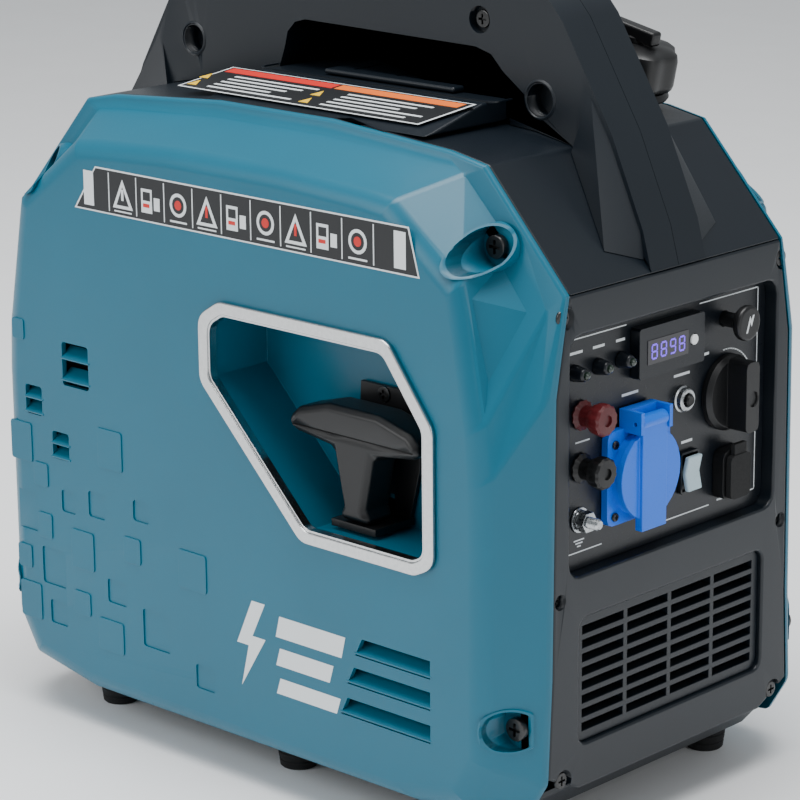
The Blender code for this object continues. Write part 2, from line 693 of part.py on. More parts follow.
def build_rope():
    """The start of the rope, from the grip's foot through the eye to the pulley."""
    low, high = GUIDE.z - 0.004, GUIDE.z - 0.0012
    back = -HALF_WIDTH + RECOIL_DEPTH
    route = [Vector((GUIDE.x, GUIDE.y, high)), Vector((GUIDE.x, GUIDE.y + 0.004, low)),
             Vector((GUIDE.x, back - 0.001, low))]
    curve = bpy.data.curves.new("recoil_rope", "CURVE")
    curve.dimensions = "3D"
    curve.bevel_depth = 0.0018
    curve.bevel_resolution = 2
    curve.use_fill_caps = True
    spline = curve.splines.new("POLY")
    spline.points.add(len(route) - 1)
    for point, place in zip(spline.points, route):
        point.co = (*place, 1)
    rope = bpy.data.objects.new("recoil_rope", curve)
    bpy.context.collection.objects.link(rope)
    paint(rope, ROPE)


def build_starter():
    """The housing that carries the rope pulley in front of the flywheel."""
    y_back = STARTER_BACK + 0.002
    rim = PULLEY_RADIUS + 0.004
    wall = rim + 0.007
    bore = 0.006
    turned("starter_housing", [(bore, y_back), (wall + SHELL_WALL, y_back),
                               (wall + SHELL_WALL, y_back + 0.014), (wall, y_back + 0.014),
                               (wall, y_back + SHELL_WALL), (bore, y_back + SHELL_WALL)],
           "y", CRANK_AXIS, SOFT_BLACK, ring=True)
    pulley = turned("starter_pulley", [(bore, y_back + 0.004), (rim, y_back + 0.004),
                                       (PULLEY_RADIUS, y_back + 0.006),
                                       (PULLEY_RADIUS, y_back + 0.009), (rim, y_back + 0.011),
                                       (bore, y_back + 0.011)],
                    "y", CRANK_AXIS, BLACK_PLASTIC, ring=True)
    pivot_at(pulley, (CRANK_AXIS[0], y_back, CRANK_AXIS[1]))


# ---------------------------------------------------------------- controls

def panel_holes():
    """Round holes in the panel: name, y, z and radius."""
    holes = [(name, y, LAMP_Z, 0.0035) for name, y in LAMP_PLACES]
    holes += [(name, TERMINAL_Y, z, 0.0035) for name, z in TERMINALS]
    holes += [("reset", *RESET_PLACE, 0.0055), ("socket", *SOCKET_CENTRE, 0.0215),
              ("choke", *CHOKE_PLACE, 0.0045), ("switch", *SWITCH_PLACE, 0.0065),
              ("outlet", *OUTLET_PLACE, 0.0090), ("eco", *ECO_PLACE, 0.0060),
              ("earth", *EARTH_PLACE, 0.0033), ("meter", *METER_CENTRE, 0.0100)]
    return holes


def build_lamps():
    """Three lamps in round bezels with stems through the panel."""
    face = FITTING_FACE
    for name, y in LAMP_PLACES:
        profile = [(0, face - 0.010), (0.003, face - 0.010), (0.003, face), (LAMP_RADIUS, face),
                   (LAMP_RADIUS - 0.001, face + 0.006), (0.003, face + 0.007), (0, face + 0.0085)]
        turned(name, profile, "x", (y, LAMP_Z), SOFT_BLACK, sides=16)


def build_meter():
    """The meter module, proud of the panel, with its mode button."""
    face = FITTING_FACE
    meter = prism("meter_module", rounded(*METER_SIZE, 0.001, METER_CENTRE, steps=1), "x",
                  face, face + METER_DEPTH, SOFT_BLACK)
    stem = rod("meter_stem", "x", METER_CENTRE, 0.009, face - 0.012, face + 0.001, sides=16)
    weld(meter, stem)
    bore = rod("meter_button_bore", "x", METER_BUTTON, 0.0032, face + 0.002, face + 0.01,
               sides=16)
    cut(meter, bore)
    low, high = face + METER_DEPTH - 0.0018, face + METER_DEPTH + 0.0012
    button = turned("meter_button", [(0, low), (0.0028, low), (0.0028, high - 0.0004),
                                     (0.0024, high), (0, high)],
                    "x", METER_BUTTON, WHITE_PLASTIC, sides=16)
    pivot_at(button, (low, *METER_BUTTON))


def build_reset():
    """The overload breaker: a threaded body, a ring nut and a button in the middle."""
    face = FITTING_FACE
    turned("reset_breaker", [(0.0035, face - 0.015), (0.005, face - 0.015), (0.005, face),
                             (0.0072, face), (0.0072, face + 0.0035), (0.0062, face + 0.0045),
                             (0.0035, face + 0.0045)],
           "x", RESET_PLACE, ZINC_STEEL, sides=20, ring=True)
    button = rod("reset_button", "x", RESET_PLACE, 0.0031, face - 0.012, face + 0.0065,
                 SOFT_BLACK, sides=16)
    pivot_at(button, (face, *RESET_PLACE))


def build_socket():
    """The earthed mains socket: flange, collar and the well that the plug enters."""
    face = FITTING_FACE
    y, z = SOCKET_CENTRE
    socket = prism("mains_socket", rounded(SOCKET_FLANGE, SOCKET_FLANGE, 0.004, SOCKET_CENTRE, 2),
                   "x", face, SOCKET_FACE, BLUE_PLASTIC)
    collar = rod("socket_collar", "x", SOCKET_CENTRE, SOCKET_COLLAR_RADIUS, SOCKET_FACE - 0.001,
                 SOCKET_FACE + SOCKET_COLLAR, sides=32)
    barrel = rod("socket_barrel", "x", SOCKET_CENTRE, 0.0208, face - 0.026, face + 0.001, sides=32)
    well = rod("socket_well", "x", SOCKET_CENTRE, SOCKET_WELL, face - 0.008,
               SOCKET_FACE + SOCKET_COLLAR + 0.01, sides=32)
    inner = LID_BAND_HALF_WIDTH + GAP
    outer = inner + HINGE_LUG_WIDTH
    back, front, notch = face + 0.001, LID_HINGE[0] + 0.0040, LID_HINGE[0] - 0.0048
    hood = prism("hinge_hood", [(back, y - outer), (front, y - outer), (front, y - inner),
                                (notch, y - inner), (notch, y + inner), (front, y + inner),
                                (front, y + outer), (back, y + outer)],
                 "z", z + SOCKET_COLLAR_RADIUS + 0.0007, z + 0.035)
    pin = rod("lid_pin_bore", "y", LID_HINGE, 0.0012, y - 0.03, y + 0.03, sides=12)
    weld(socket, collar, barrel)
    cut(socket, well)
    weld(socket, hood)
    cut(socket, pin)
    for modifier in socket.modifiers:
        modifier.solver = "MANIFOLD"


def build_socket_lid():
    """The sprung lid, a disc with a raised band that runs up into its hinge barrel."""
    back = SOCKET_FACE + SOCKET_COLLAR + GAP
    y, z = SOCKET_CENTRE
    lid = rod("socket_lid", "x", SOCKET_CENTRE, SOCKET_LID_RADIUS, back,
              back + SOCKET_LID_THICKNESS, BLUE_PLASTIC, sides=32)
    half = LID_BAND_HALF_WIDTH
    band = block("lid_band", (back + 0.001, y - half, z - 0.0285),
                 (back + SOCKET_LID_THICKNESS + 0.0022, y + half, LID_HINGE[1]))
    barrel = rod("lid_barrel", "y", LID_HINGE, 0.0040, y - half, y + half, sides=16)
    weld(lid, band, barrel)
    pivot_at(lid, (LID_HINGE[0], y, LID_HINGE[1]))


def build_eco_switch():
    """A rocker switch: its snap-in body and the rocker on its pin."""
    face = FITTING_FACE
    y, z = ECO_PLACE
    body = prism("eco_switch_body", rounded(0.0150, 0.0225, 0.0012, ECO_PLACE, 1), "x",
                 face, face + 0.0022, SOFT_BLACK)
    tail = rod("eco_tail", "x", ECO_PLACE, 0.0055, face - 0.014, face + 0.001, sides=12)
    well = block("eco_well", (face + 0.0004, y - 0.0062, z - 0.0100),
                 (face + 0.01, y + 0.0062, z + 0.0100))
    weld(body, tail)
    cut(body, well)
    rocker = prism("eco_rocker", [(face + 0.0010, z), (face + 0.0032, z + 0.0094),
                                  (face + 0.0062, z + 0.0094), (face + 0.0042, z),
                                  (face + 0.0062, z - 0.0094), (face + 0.0032, z - 0.0094)],
                    "y", y - 0.0058, y + 0.0058, GREY_PLASTIC)
    pivot_at(rocker, (face + 0.0030, y, z))


def build_terminals():
    """Two binding posts that join this set to a second one in parallel."""
    face = FITTING_FACE
    collar = TERMINAL_RADIUS
    for (name, z), finish in zip(TERMINALS, (RED_PLASTIC, SOFT_BLACK)):
        profile = [(0, face - 0.012), (0.0030, face - 0.012), (0.0030, face), (collar, face),
                   (collar - 0.0005, face + 0.004), (0.0045, face + 0.006), (0.0050, face + 0.009),
                   (collar, face + 0.013), (collar - 0.001, face + 0.0165), (0, face + 0.0175)]
        turned(name, profile, "x", (TERMINAL_Y, z), finish, sides=16)


def build_earth():
    """The earth point: a threaded stud with a flange washer, and its hexagon nut."""
    face = FITTING_FACE
    centre = EARTH_PLACE
    turned("earth_stud", [(0, face - 0.008), (0.0028, face - 0.008), (0.0028, face),
                          (0.0068, face), (0.0068, face + 0.0015), (0.0028, face + 0.0015),
                          (0.0028, face + 0.013), (0.0022, face + 0.0135), (0, face + 0.0135)],
           "x", centre, ZINC_STEEL, sides=16)
    turned("earth_nut", [(0.0028 + GAP, face + 0.0018), (0.0060, face + 0.0018),
                         (0.0060, face + 0.0062), (0.0050, face + 0.0070),
                         (0.0028 + GAP, face + 0.0070)],
           "x", centre, ZINC_STEEL, sides=6 * 2, ring=True)


def build_choke():
    """The choke pull: a round knob on a stem through the panel."""
    face = FITTING_FACE
    profile = [(0, face - 0.024), (0.0040, face - 0.024), (0.0040, face + 0.010),
               (CHOKE_KNOB_RADIUS - 0.0015, face + 0.011), (CHOKE_KNOB_RADIUS, face + 0.0125),
               (CHOKE_KNOB_RADIUS, face + 0.0155), (CHOKE_KNOB_RADIUS - 0.001, face + 0.0165),
               (0, face + 0.0165)]
    knob = turned("choke_knob", profile, "x", CHOKE_PLACE, SOFT_BLACK, sides=20)
    pivot_at(knob, (face, *CHOKE_PLACE))


def build_engine_switch():
    """The three-way engine switch: a skirted knob with a grip bar across it."""
    face = FITTING_FACE
    radius = SWITCH_KNOB_RADIUS
    profile = [(0, face - 0.012), (0.006, face - 0.012), (0.006, face), (radius, face),
               (radius, face + 0.003), (radius - 0.002, face + 0.0055), (0, face + 0.0055)]
    knob = turned("engine_switch", profile, "x", SWITCH_PLACE, SOFT_BLACK, sides=32)
    y, z = SWITCH_PLACE
    bar = prism("switch_bar", rounded(0.0110, 2 * radius - 0.003, 0.003, SWITCH_PLACE, 2), "x",
                face + 0.004, CONTROL_REACH)
    weld(knob, bar)
    pivot_at(knob, (face, y, z))


def build_outlet():
    """The low-voltage outlet with its rubber flap, hinged along the top."""
    face = FITTING_FACE
    y, z = OUTLET_PLACE
    outlet = prism("dc_outlet", rounded(*OUTLET_SIZE, 0.004, OUTLET_PLACE, 2), "x",
                   face, face + 0.007, SOFT_BLACK)
    tail = rod("outlet_tail", "x", OUTLET_PLACE, 0.0085, face - 0.018, face + 0.001, sides=16)
    well = rod("outlet_well", "x", OUTLET_PLACE, 0.0062, face - 0.012, face + 0.02, sides=16)
    weld(outlet, tail)
    cut(outlet, well)
    hinge_z = z + 0.0150
    flap = prism("dc_outlet_flap", rounded(0.0170, 0.0240, 0.003, (y, z - 0.001), 2), "x",
                 face + 0.007 + GAP, face + 0.0105, SOFT_BLACK)
    strap = block("flap_strap", (face + 0.0075, y - 0.005, z + 0.008),
                  (face + 0.0100, y + 0.005, hinge_z + 0.002))
    weld(flap, strap)
    pivot_at(flap, (face + 0.0085, y, hinge_z))


# ---------------------------------------------------------------- fuel system

def lean(obj):
    """Tip a fuel-filler piece forward about the middle of its neck."""
    turn = Matrix.Rotation(FUEL_CAP_LEAN, 4, "Y")
    obj.data.transform(turn)
    obj.location = FUEL_CAP_CENTRE
    return obj


def build_fuel_tank():
    """The moulded tank under the top cover, with its filler neck."""
    outline = [(0.150, 0.300), (0.150, 0.315), (0.120, 0.345), (-0.120, 0.345), (-0.150, 0.315),
               (-0.150, 0.290), (0.120, 0.290)]
    tank = prism("fuel_tank", outline, "y", -0.070, 0.080, SOFT_BLACK)
    neck = turned("tank_neck", [(0, -0.040), (0.0150, -0.040), (0.0150, 0.0100), (0, 0.0100)],
                  "z", (0, 0), sides=20)
    bore = turned("neck_bore", [(0, -0.036), (0.0125, -0.036), (0.0125, 0.0300), (0, 0.0300)],
                  "z", (0, 0), sides=20)
    lean(neck)
    lean(bore)
    weld(tank, neck)
    cut(tank, bore)


def build_fuel_cap():
    """The lobed screw cap, and the breather knob in its top."""
    sides = 32
    skirt = FUEL_CAP_RADIUS
    cap = turned("fuel_cap", [(0.0155, 0.0030), (skirt - 0.001, 0.0030), (skirt, 0.006),
                              (skirt, 0.022), (skirt - 0.003, 0.0255), (0.0060, 0.0265),
                              (0.0060, 0.0215), (0.0030, 0.0215), (0.0030, 0.0105),
                              (0.0155, 0.0105)],
                 "z", (0, 0), SOFT_BLACK, sides, ring=True)
    lean(cap)
    vent = turned("fuel_vent_knob", [(0, 0.0110), (0.0026, 0.0110), (0.0026, 0.0220),
                                     (0.0055, 0.0222), (0.0055, 0.0300), (0, 0.0305)],
                  "z", (0, 0), SOFT_BLACK, 16)
    wing = block("vent_wing", (-0.0150, -0.0040, 0.0270), (0.0150, 0.0040, 0.0350))
    weld(vent, lean(wing))
    lean(vent)


# ---------------------------------------------------------------- engine and alternator

def build_engine():
    """The crankcase with its bored main bearing, the finned barrel and the head."""
    x, z = CRANK_AXIS
    case = block("crankcase", (x - 0.045, CASE_NEAR, z - 0.045), (x + 0.050, CASE_FAR, z + 0.050),
                 CAST_ALUMINIUM)
    bore = rod("crank_bore", "y", CRANK_AXIS, CRANK_RADIUS + RUNNING_CLEARANCE,
               CASE_NEAR - 0.038, CASE_FAR - 0.004)
    cut(case, bore)
    face = x - 0.045 - GAP
    fins = []
    steps = 5
    pitch = 0.010
    radius_out = (CASE_FAR - CASE_NEAR) / 2 - 0.001
    radius_in = radius_out - 0.010
    start = face
    for k in range(steps):
        fins += [(radius_in, start - pitch * k), (radius_in, start - pitch * k - 0.006),
                 (radius_out, start - pitch * k - 0.006), (radius_out, start - pitch * k - pitch)]
    profile = [(0, start)] + fins + [(0, start - pitch * steps)]
    middle = (CASE_NEAR + CASE_FAR) / 2
    plug_place = (middle - 0.017, z + 0.016)
    barrel = turned("cylinder_block", profile, "x", (middle, z), CAST_ALUMINIUM, 20)
    head_x = start - pitch * steps
    head = block("cylinder_head", (head_x - 0.024, CASE_NEAR, z - 0.034),
                 (head_x + 0.001, CASE_FAR, z + 0.034))
    weld(barrel, head)
    plug_hole = rod("plug_hole", "x", plug_place, 0.0050 + GAP, head_x - 0.05,
                    head_x - 0.004, sides=12)
    cut(barrel, plug_hole)
    plug_x = head_x - 0.024
    turned("spark_plug", [(0, plug_x + 0.012), (0.0050, plug_x + 0.012), (0.0050, plug_x - GAP),
                          (0.0080, plug_x - GAP), (0.0080, plug_x - 0.006), (0.0045, plug_x - 0.007),
                          (0.0035, plug_x - 0.022), (0, plug_x - 0.022)],
           "x", plug_place, CERAMIC, 12)


def build_rotating_group():
    """Crankshaft, flywheel fan with its magnet ring, and the stator inside the ring."""
    x, z = CRANK_AXIS
    nose, disc = CRANK_NOSE, FLYWHEEL_FACE
    shaft = turned("crankshaft", [(0, nose), (0.007, nose), (0.007, nose + 0.008),
                                  (CRANK_RADIUS, nose + 0.010), (CRANK_RADIUS, CASE_FAR - 0.008),
                                  (0, CASE_FAR - 0.008)],
                   "y", CRANK_AXIS, ZINC_STEEL)
    pivot_at(shaft, (x, 0, z))
    bore = CRANK_RADIUS + GAP
    back = disc + FLYWHEEL_DEPTH
    wheel = turned("flywheel", [(bore, disc), (FLYWHEEL_RADIUS, disc), (FLYWHEEL_RADIUS, back),
                                (FLYWHEEL_RADIUS - 0.007, back),
                                (FLYWHEEL_RADIUS - 0.007, disc + 0.005), (bore, disc + 0.005)],
                   "y", CRANK_AXIS, ZINC_STEEL, 32, ring=True)
    pivot_at(wheel, (x, 0, z))
    blades = 12
    star = []
    for k in range(blades):
        for angle, radius in ((0.0, 0.030), (0.10, 0.054), (0.22, 0.054), (0.34, 0.030)):
            turn = 2 * math.pi * k / blades + angle
            star.append((x + radius * math.cos(turn), z + radius * math.sin(turn)))
    fan = prism("cooling_fan", star, "y", nose + 0.0015, disc - GAP, SOFT_BLACK)
    fan_bore = rod("fan_bore", "y", CRANK_AXIS, CRANK_RADIUS + GAP, nose - 0.01, disc + 0.01)
    cut(fan, fan_bore)
    pivot_at(fan, (x, 0, z))
    stator_outer = FLYWHEEL_RADIUS - 0.007 - RUNNING_CLEARANCE
    turned("stator", [(0.018, disc + 0.007), (stator_outer, disc + 0.007),
                      (stator_outer, back), (0.018, back)],
           "y", CRANK_AXIS, COPPER, 32, ring=True)


def build_intake():
    """Carburettor and air filter box on the far side of the head."""
    far = CASE_FAR + 0.030
    block("carburettor", (-0.085, CASE_FAR + 0.0005, 0.085), (-0.035, far, 0.130), CAST_ALUMINIUM)
    filter_box = block("air_filter_box", (-0.105, far + 0.0005, 0.070),
                       (-0.015, HALF_WIDTH - FILTER_INSET, 0.160), SOFT_BLACK)
    soften(filter_box, 0.004)


def build_exhaust():
    """The silencer across the rear, with its tail pipe through the rear frame."""
    y, z = EXHAUST_CENTRE
    silencer = prism("silencer", rounded(0.130, 0.075, 0.020, (-0.005, z), 3), "x",
                     -0.168, -0.112, ZINC_STEEL)
    socket = rod("pipe_socket", "x", EXHAUST_CENTRE, EXHAUST_RADIUS - 0.004 + GAP, -0.18, -0.155,
                 sides=20)
    cut(silencer, socket)
    turned("tail_pipe", [(0.0090, -0.156), (EXHAUST_RADIUS - 0.004, -0.156),
                         (EXHAUST_RADIUS - 0.004, -0.172), (EXHAUST_RADIUS, -0.176),
                         (EXHAUST_RADIUS, -CONTROL_REACH), (0.0100, -CONTROL_REACH)],
           "x", EXHAUST_CENTRE, ZINC_STEEL, 20, ring=True)


def build_inverter():
    """The inverter module: a finned aluminium case full of electronics."""
    low, high = Vector((0.100, 0.062, 0.040)), Vector((0.160, HALF_WIDTH - INVERTER_INSET, 0.180))
    grooves, pitch, width = 7, 0.018, 0.008
    case = block("inverter_module", low, high, CAST_ALUMINIUM)
    for k in range(grooves):
        z = low.z + width + pitch * k
        groove = block(f"fin_groove_{k}", (low.x - width, high.y - 0.006, z),
                       (high.x + width, high.y + width, z + width))
        cut(case, groove)


def clear_scene():
    for obj in list(bpy.data.objects):
        bpy.data.objects.remove(obj, do_unlink=True)


def build_generator():
    clear_scene()
    build_near_cover()
    build_far_cover()
    build_service_door()
    build_front_frame()
    build_control_panel()
    build_front_grille()
    build_rear_frame()
    build_rear_grille()
    build_top_cover()
    build_hatch()
    build_handle()
    build_base()
    build_feet()
    build_surround()
    build_recess()
    build_backplate()
    build_grip()
    build_rope()
    build_starter()
    build_lamps()
    build_meter()
    build_reset()
    build_socket()
    build_socket_lid()
    build_eco_switch()
    build_terminals()
    build_earth()
    build_choke()
    build_engine_switch()
    build_outlet()
    build_fuel_tank()
    build_fuel_cap()
    build_engine()
    build_rotating_group()
    build_intake()
    build_exhaust()
    build_inverter()


build_generator()
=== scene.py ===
"""Portable inverter generator: the finished look of the model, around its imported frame."""
import json
import math

import bmesh
import bpy
from mathutils import Matrix, Vector


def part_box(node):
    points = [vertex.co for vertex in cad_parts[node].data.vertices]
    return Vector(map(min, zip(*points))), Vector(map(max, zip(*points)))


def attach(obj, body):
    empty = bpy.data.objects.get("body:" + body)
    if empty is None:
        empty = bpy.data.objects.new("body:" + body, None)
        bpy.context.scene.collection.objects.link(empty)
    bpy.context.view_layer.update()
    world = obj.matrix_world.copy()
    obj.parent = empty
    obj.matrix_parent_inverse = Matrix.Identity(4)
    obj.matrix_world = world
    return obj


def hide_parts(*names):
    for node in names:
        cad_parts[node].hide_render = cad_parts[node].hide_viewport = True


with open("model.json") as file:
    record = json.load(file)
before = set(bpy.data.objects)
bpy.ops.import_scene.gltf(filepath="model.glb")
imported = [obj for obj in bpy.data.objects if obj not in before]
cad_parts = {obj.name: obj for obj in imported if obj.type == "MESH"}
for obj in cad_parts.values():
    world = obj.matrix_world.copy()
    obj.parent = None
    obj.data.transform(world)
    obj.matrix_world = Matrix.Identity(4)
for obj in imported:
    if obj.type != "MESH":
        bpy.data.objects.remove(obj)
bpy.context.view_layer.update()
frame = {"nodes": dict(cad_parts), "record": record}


# ---------------------------------------------------------------- studio
# A long lens a third above the bench looks at the corner between the recoil side and the
# controls. Large soft boxes stand left, right and above, on a plain pale floor.
def linear(colour):
    """An sRGB hex colour as linear RGBA."""
    channels = [int(colour[i:i + 2], 16) / 255 for i in (0, 2, 4)]
    return (*[c / 12.92 if c <= 0.04045 else ((c + 0.055) / 1.055) ** 2.4 for c in channels], 1)


def deselect():
    """Start from nothing selected, in object mode."""
    if bpy.context.object and bpy.context.object.mode != "OBJECT":
        bpy.ops.object.mode_set(mode="OBJECT")
    bpy.ops.object.select_all(action="DESELECT")


def add(tree, kind, settings=None, links=None):
    """One shader node: its properties and input values, then its incoming links."""
    node = tree.nodes.new(kind)
    for key, value in (settings or {}).items():
        if key in node.inputs:
            node.inputs[key].default_value = value
        else:
            setattr(node, key, value)
    for key, source in (links or {}).items():
        tree.links.new(source, node.inputs[key])
    return node


def moulded(name, colour, roughness, grain=0.0006, depth=0.00002, mottle=0.05, coat=0.0):
    """A moulded plastic or rubber: an eroded grain of real size, with slow faint mottling."""
    material = bpy.data.materials.new(name)
    material.use_nodes = True
    tree = material.node_tree
    shader = tree.nodes["Principled BSDF"]
    shader.inputs["IOR"].default_value = 1.46
    shader.inputs["Coat Weight"].default_value = coat
    place = add(tree, "ShaderNodeTexCoord").outputs["Object"]
    fine = add(tree, "ShaderNodeTexNoise", {"Scale": 1 / grain, "Detail": 2.0}, {"Vector": place})
    slow = add(tree, "ShaderNodeTexNoise", {"Scale": 14.0, "Detail": 3.0}, {"Vector": place})
    tint = linear(colour)
    ramp = add(tree, "ShaderNodeValToRGB", {}, {"Fac": slow.outputs["Fac"]})
    ramp.color_ramp.elements[0].position = 0.3
    ramp.color_ramp.elements[1].position = 0.7
    ramp.color_ramp.elements[0].color = (*[c * (1 - mottle) for c in tint[:3]], 1)
    ramp.color_ramp.elements[1].color = (*[min(1, c * (1 + mottle)) for c in tint[:3]], 1)
    tree.links.new(ramp.outputs["Color"], shader.inputs["Base Color"])
    spread = {"From Min": 0.3, "From Max": 0.7,
              "To Min": roughness - 0.05, "To Max": roughness + 0.05}
    rough = add(tree, "ShaderNodeMapRange", spread, {"Value": fine.outputs["Fac"]})
    tree.links.new(rough.outputs["Result"], shader.inputs["Roughness"])
    bump = add(tree, "ShaderNodeBump", {"Strength": 1.0, "Distance": depth},
               {"Height": fine.outputs["Fac"]})
    tree.links.new(bump.outputs["Normal"], shader.inputs["Normal"])
    return material


camera = bpy.data.objects.new("camera", bpy.data.cameras.new("camera"))
camera.data.lens = 138.06
camera.data.sensor_width = 36
camera.matrix_world = (Matrix.Translation((1.1440, -1.1936, 0.6503))
                       @ Matrix.Rotation(math.radians(43.64), 4, "Z")
                       @ Matrix.Rotation(math.radians(90 - 15.565), 4, "X")
                       @ Matrix.Rotation(math.radians(-0.55), 4, "Z"))
bpy.context.collection.objects.link(camera)
bpy.context.scene.camera = camera

world = bpy.data.worlds.new("studio")
world.use_nodes = True
world.node_tree.nodes["Background"].inputs["Color"].default_value = (0.93, 0.97, 1.0, 1)
world.node_tree.nodes["Background"].inputs["Strength"].default_value = 0.5
bpy.context.scene.world = world

SOFT_BOXES = {
    "key_left": ((-1.0, -2.4, 1.5), (1.6, 1.6), 34),
    "fill_right": ((2.4, -0.1, 0.9), (1.0, 1.6), 10),
    "overhead": ((0.1, -0.2, 2.4), (1.8, 1.4), 78),
}
for name, (place, size, power) in SOFT_BOXES.items():
    light = bpy.data.lights.new(name, "AREA")
    light.shape = "RECTANGLE"
    light.size, light.size_y = size
    light.energy = power
    box = bpy.data.objects.new(name, light)
    box.location = place
    box.rotation_euler = (Vector((0, 0, 0.2)) - Vector(place)).to_track_quat("-Z", "Y").to_euler()
    bpy.context.collection.objects.link(box)

deselect()
bpy.ops.mesh.primitive_plane_add(size=14, location=(0, 0, 0))
floor = bpy.context.object
floor.name = "studio_floor"
# Matt painted board: almost white, no gloss
floor.data.materials.append(moulded("matt_pale_floor", "F4F5F6", 0.7, grain=0.002, mottle=0.01))


# ---------------------------------------------------------------- side covers
# Two large injection-moulded polypropylene shells, screwed to the end frames from the sides.
# The outer face is flat with a broad soft turn to the sloping facets around it.
TEAL = "005C74"
SIDE = 0.127             # the outer face's distance from the middle plane
SIDE_RIM = 0.0885        # nearer the middle than this, a cover's edges are its inner rims
SHELL_MIDDLE = Vector((0, 0, 0.19))
BROAD_TURN = math.radians(86)
TILE_STEP = 0.0008       # how deep a sunk tile lies
VENT_DEPTH = 0.006
PAST_FACE = 0.004        # how far a cutter stands out of the face it cuts
POCKET_RADIUS = 0.0108
CUP_RADIUS = 0.0120
# Fine spark grain that gives a satin sheen, a little lighter where the light grazes
teal_plastic = moulded("teal_polypropylene_grained", TEAL, 0.36, mottle=0.035, depth=0.000012)


def hold(piece):
    """Select one piece alone and make it active."""
    deselect()
    piece.select_set(True)
    bpy.context.view_layer.objects.active = piece


def modify(piece, kind, **settings):
    """Add one modifier and apply it."""
    modifier = piece.modifiers.new(kind.lower(), kind)
    for key, value in settings.items():
        setattr(modifier, key, value)
    hold(piece)
    bpy.ops.object.modifier_apply(modifier=modifier.name)


def edit(piece, *steps, pick=None):
    """Edit-mode operators on the faces that pick chooses, or on the whole mesh."""
    hold(piece)
    bpy.ops.object.mode_set(mode="EDIT")
    bpy.ops.mesh.select_mode(type="FACE" if pick else "VERT")
    bpy.ops.mesh.select_all(action="DESELECT" if pick else "SELECT")
    if pick:
        work = bmesh.from_edit_mesh(piece.data)
        for face in work.faces:
            face.select_set(bool(pick(face)))
        bmesh.update_edit_mesh(piece.data)
    for operator, settings in steps:
        operator(**settings)
    bpy.ops.object.mode_set(mode="OBJECT")


def remove(piece):
    bpy.data.objects.remove(piece, do_unlink=True)


def cut(piece, *cutters):
    """Take the cutters' shapes out of a piece, with the second solver where the first can't."""
    for cutter in cutters:
        before = len(piece.data.vertices)
        for solver in ("MANIFOLD", "EXACT"):
            if len(piece.data.vertices) == before:
                modify(piece, "BOOLEAN", object=cutter, operation="DIFFERENCE", solver=solver)
        remove(cutter)


def join(name, pieces):
    """Make several meshes one named piece."""
    hold(pieces[0])
    for piece in pieces:
        piece.select_set(True)
    bpy.ops.object.join()
    pieces[0].name = name
    pieces[0].data.name = name
    return pieces[0]


def slab(name, low, high, edge=0.0, segments=2):
    """A block between two corners, with its edges rounded."""
    deselect()
    middle = [(a + b) / 2 for a, b in zip(low, high)]
    bpy.ops.mesh.primitive_cube_add(size=1, location=middle,
                                    scale=[abs(b - a) for a, b in zip(low, high)])
    piece = bpy.context.object
    piece.name = name
    bpy.ops.object.transform_apply(location=True, rotation=True, scale=True)
    if edge:
        modify(piece, "BEVEL", width=edge, segments=segments)
    return piece


def disc(name, axis, centre, radius, low, high, edge=0.0, sides=48):
    """A round of material along x, y or z; centre is in the two other coordinates."""
    deselect()
    middle = (low + high) / 2
    place = {"x": (middle, centre[0], centre[1]), "y": (centre[0], middle, centre[1]),
             "z": (centre[0], centre[1], middle)}[axis]
    turn = {"x": (0, math.pi / 2, 0), "y": (math.pi / 2, 0, 0), "z": (0, 0, 0)}[axis]
    bpy.ops.mesh.primitive_cylinder_add(vertices=sides, radius=radius, depth=abs(high - low),
                                        location=place, rotation=turn)
    piece = bpy.context.object
    piece.name = name
    bpy.ops.object.transform_apply(location=True, rotation=True, scale=True)
    if edge:
        modify(piece, "BEVEL", width=edge, segments=2, limit_method="ANGLE",
               angle_limit=math.radians(50))
    return piece


def plate(name, outline, axis, low, high, edge=0.0):
    """A flat outline, in the plane across an axis, extruded between two places on it."""
    deselect()
    bpy.ops.mesh.primitive_circle_add(vertices=len(outline), fill_type="NGON")
    piece = bpy.context.object
    piece.name = name
    for vertex, (a, b) in zip(piece.data.vertices, outline):
        vertex.co = {"x": (low, a, b), "y": (a, low, b), "z": (a, b, low)}[axis]
    shift = [high - low if letter == axis else 0 for letter in "xyz"]
    edit(piece, (bpy.ops.mesh.extrude_region_move, {"TRANSFORM_OT_translate": {"value": shift}}),
         (bpy.ops.mesh.select_all, {"action": "SELECT"}),
         (bpy.ops.mesh.normals_make_consistent, {"inside": False}))
    if edge:
        modify(piece, "BEVEL", width=edge, segments=2, limit_method="ANGLE",
               angle_limit=math.radians(50))
    return piece


def dress(piece, material, body="casing", angle=35):
    """Shade a finished piece, give it its material, and let it ride on its body."""
    hold(piece)
    bpy.ops.object.shade_smooth_by_angle(angle=math.radians(angle))
    modify(piece, "WEIGHTED_NORMAL", keep_sharp=True, weight=100)
    piece.data.materials.clear()
    piece.data.materials.append(material)
    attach(piece, body)
    return piece


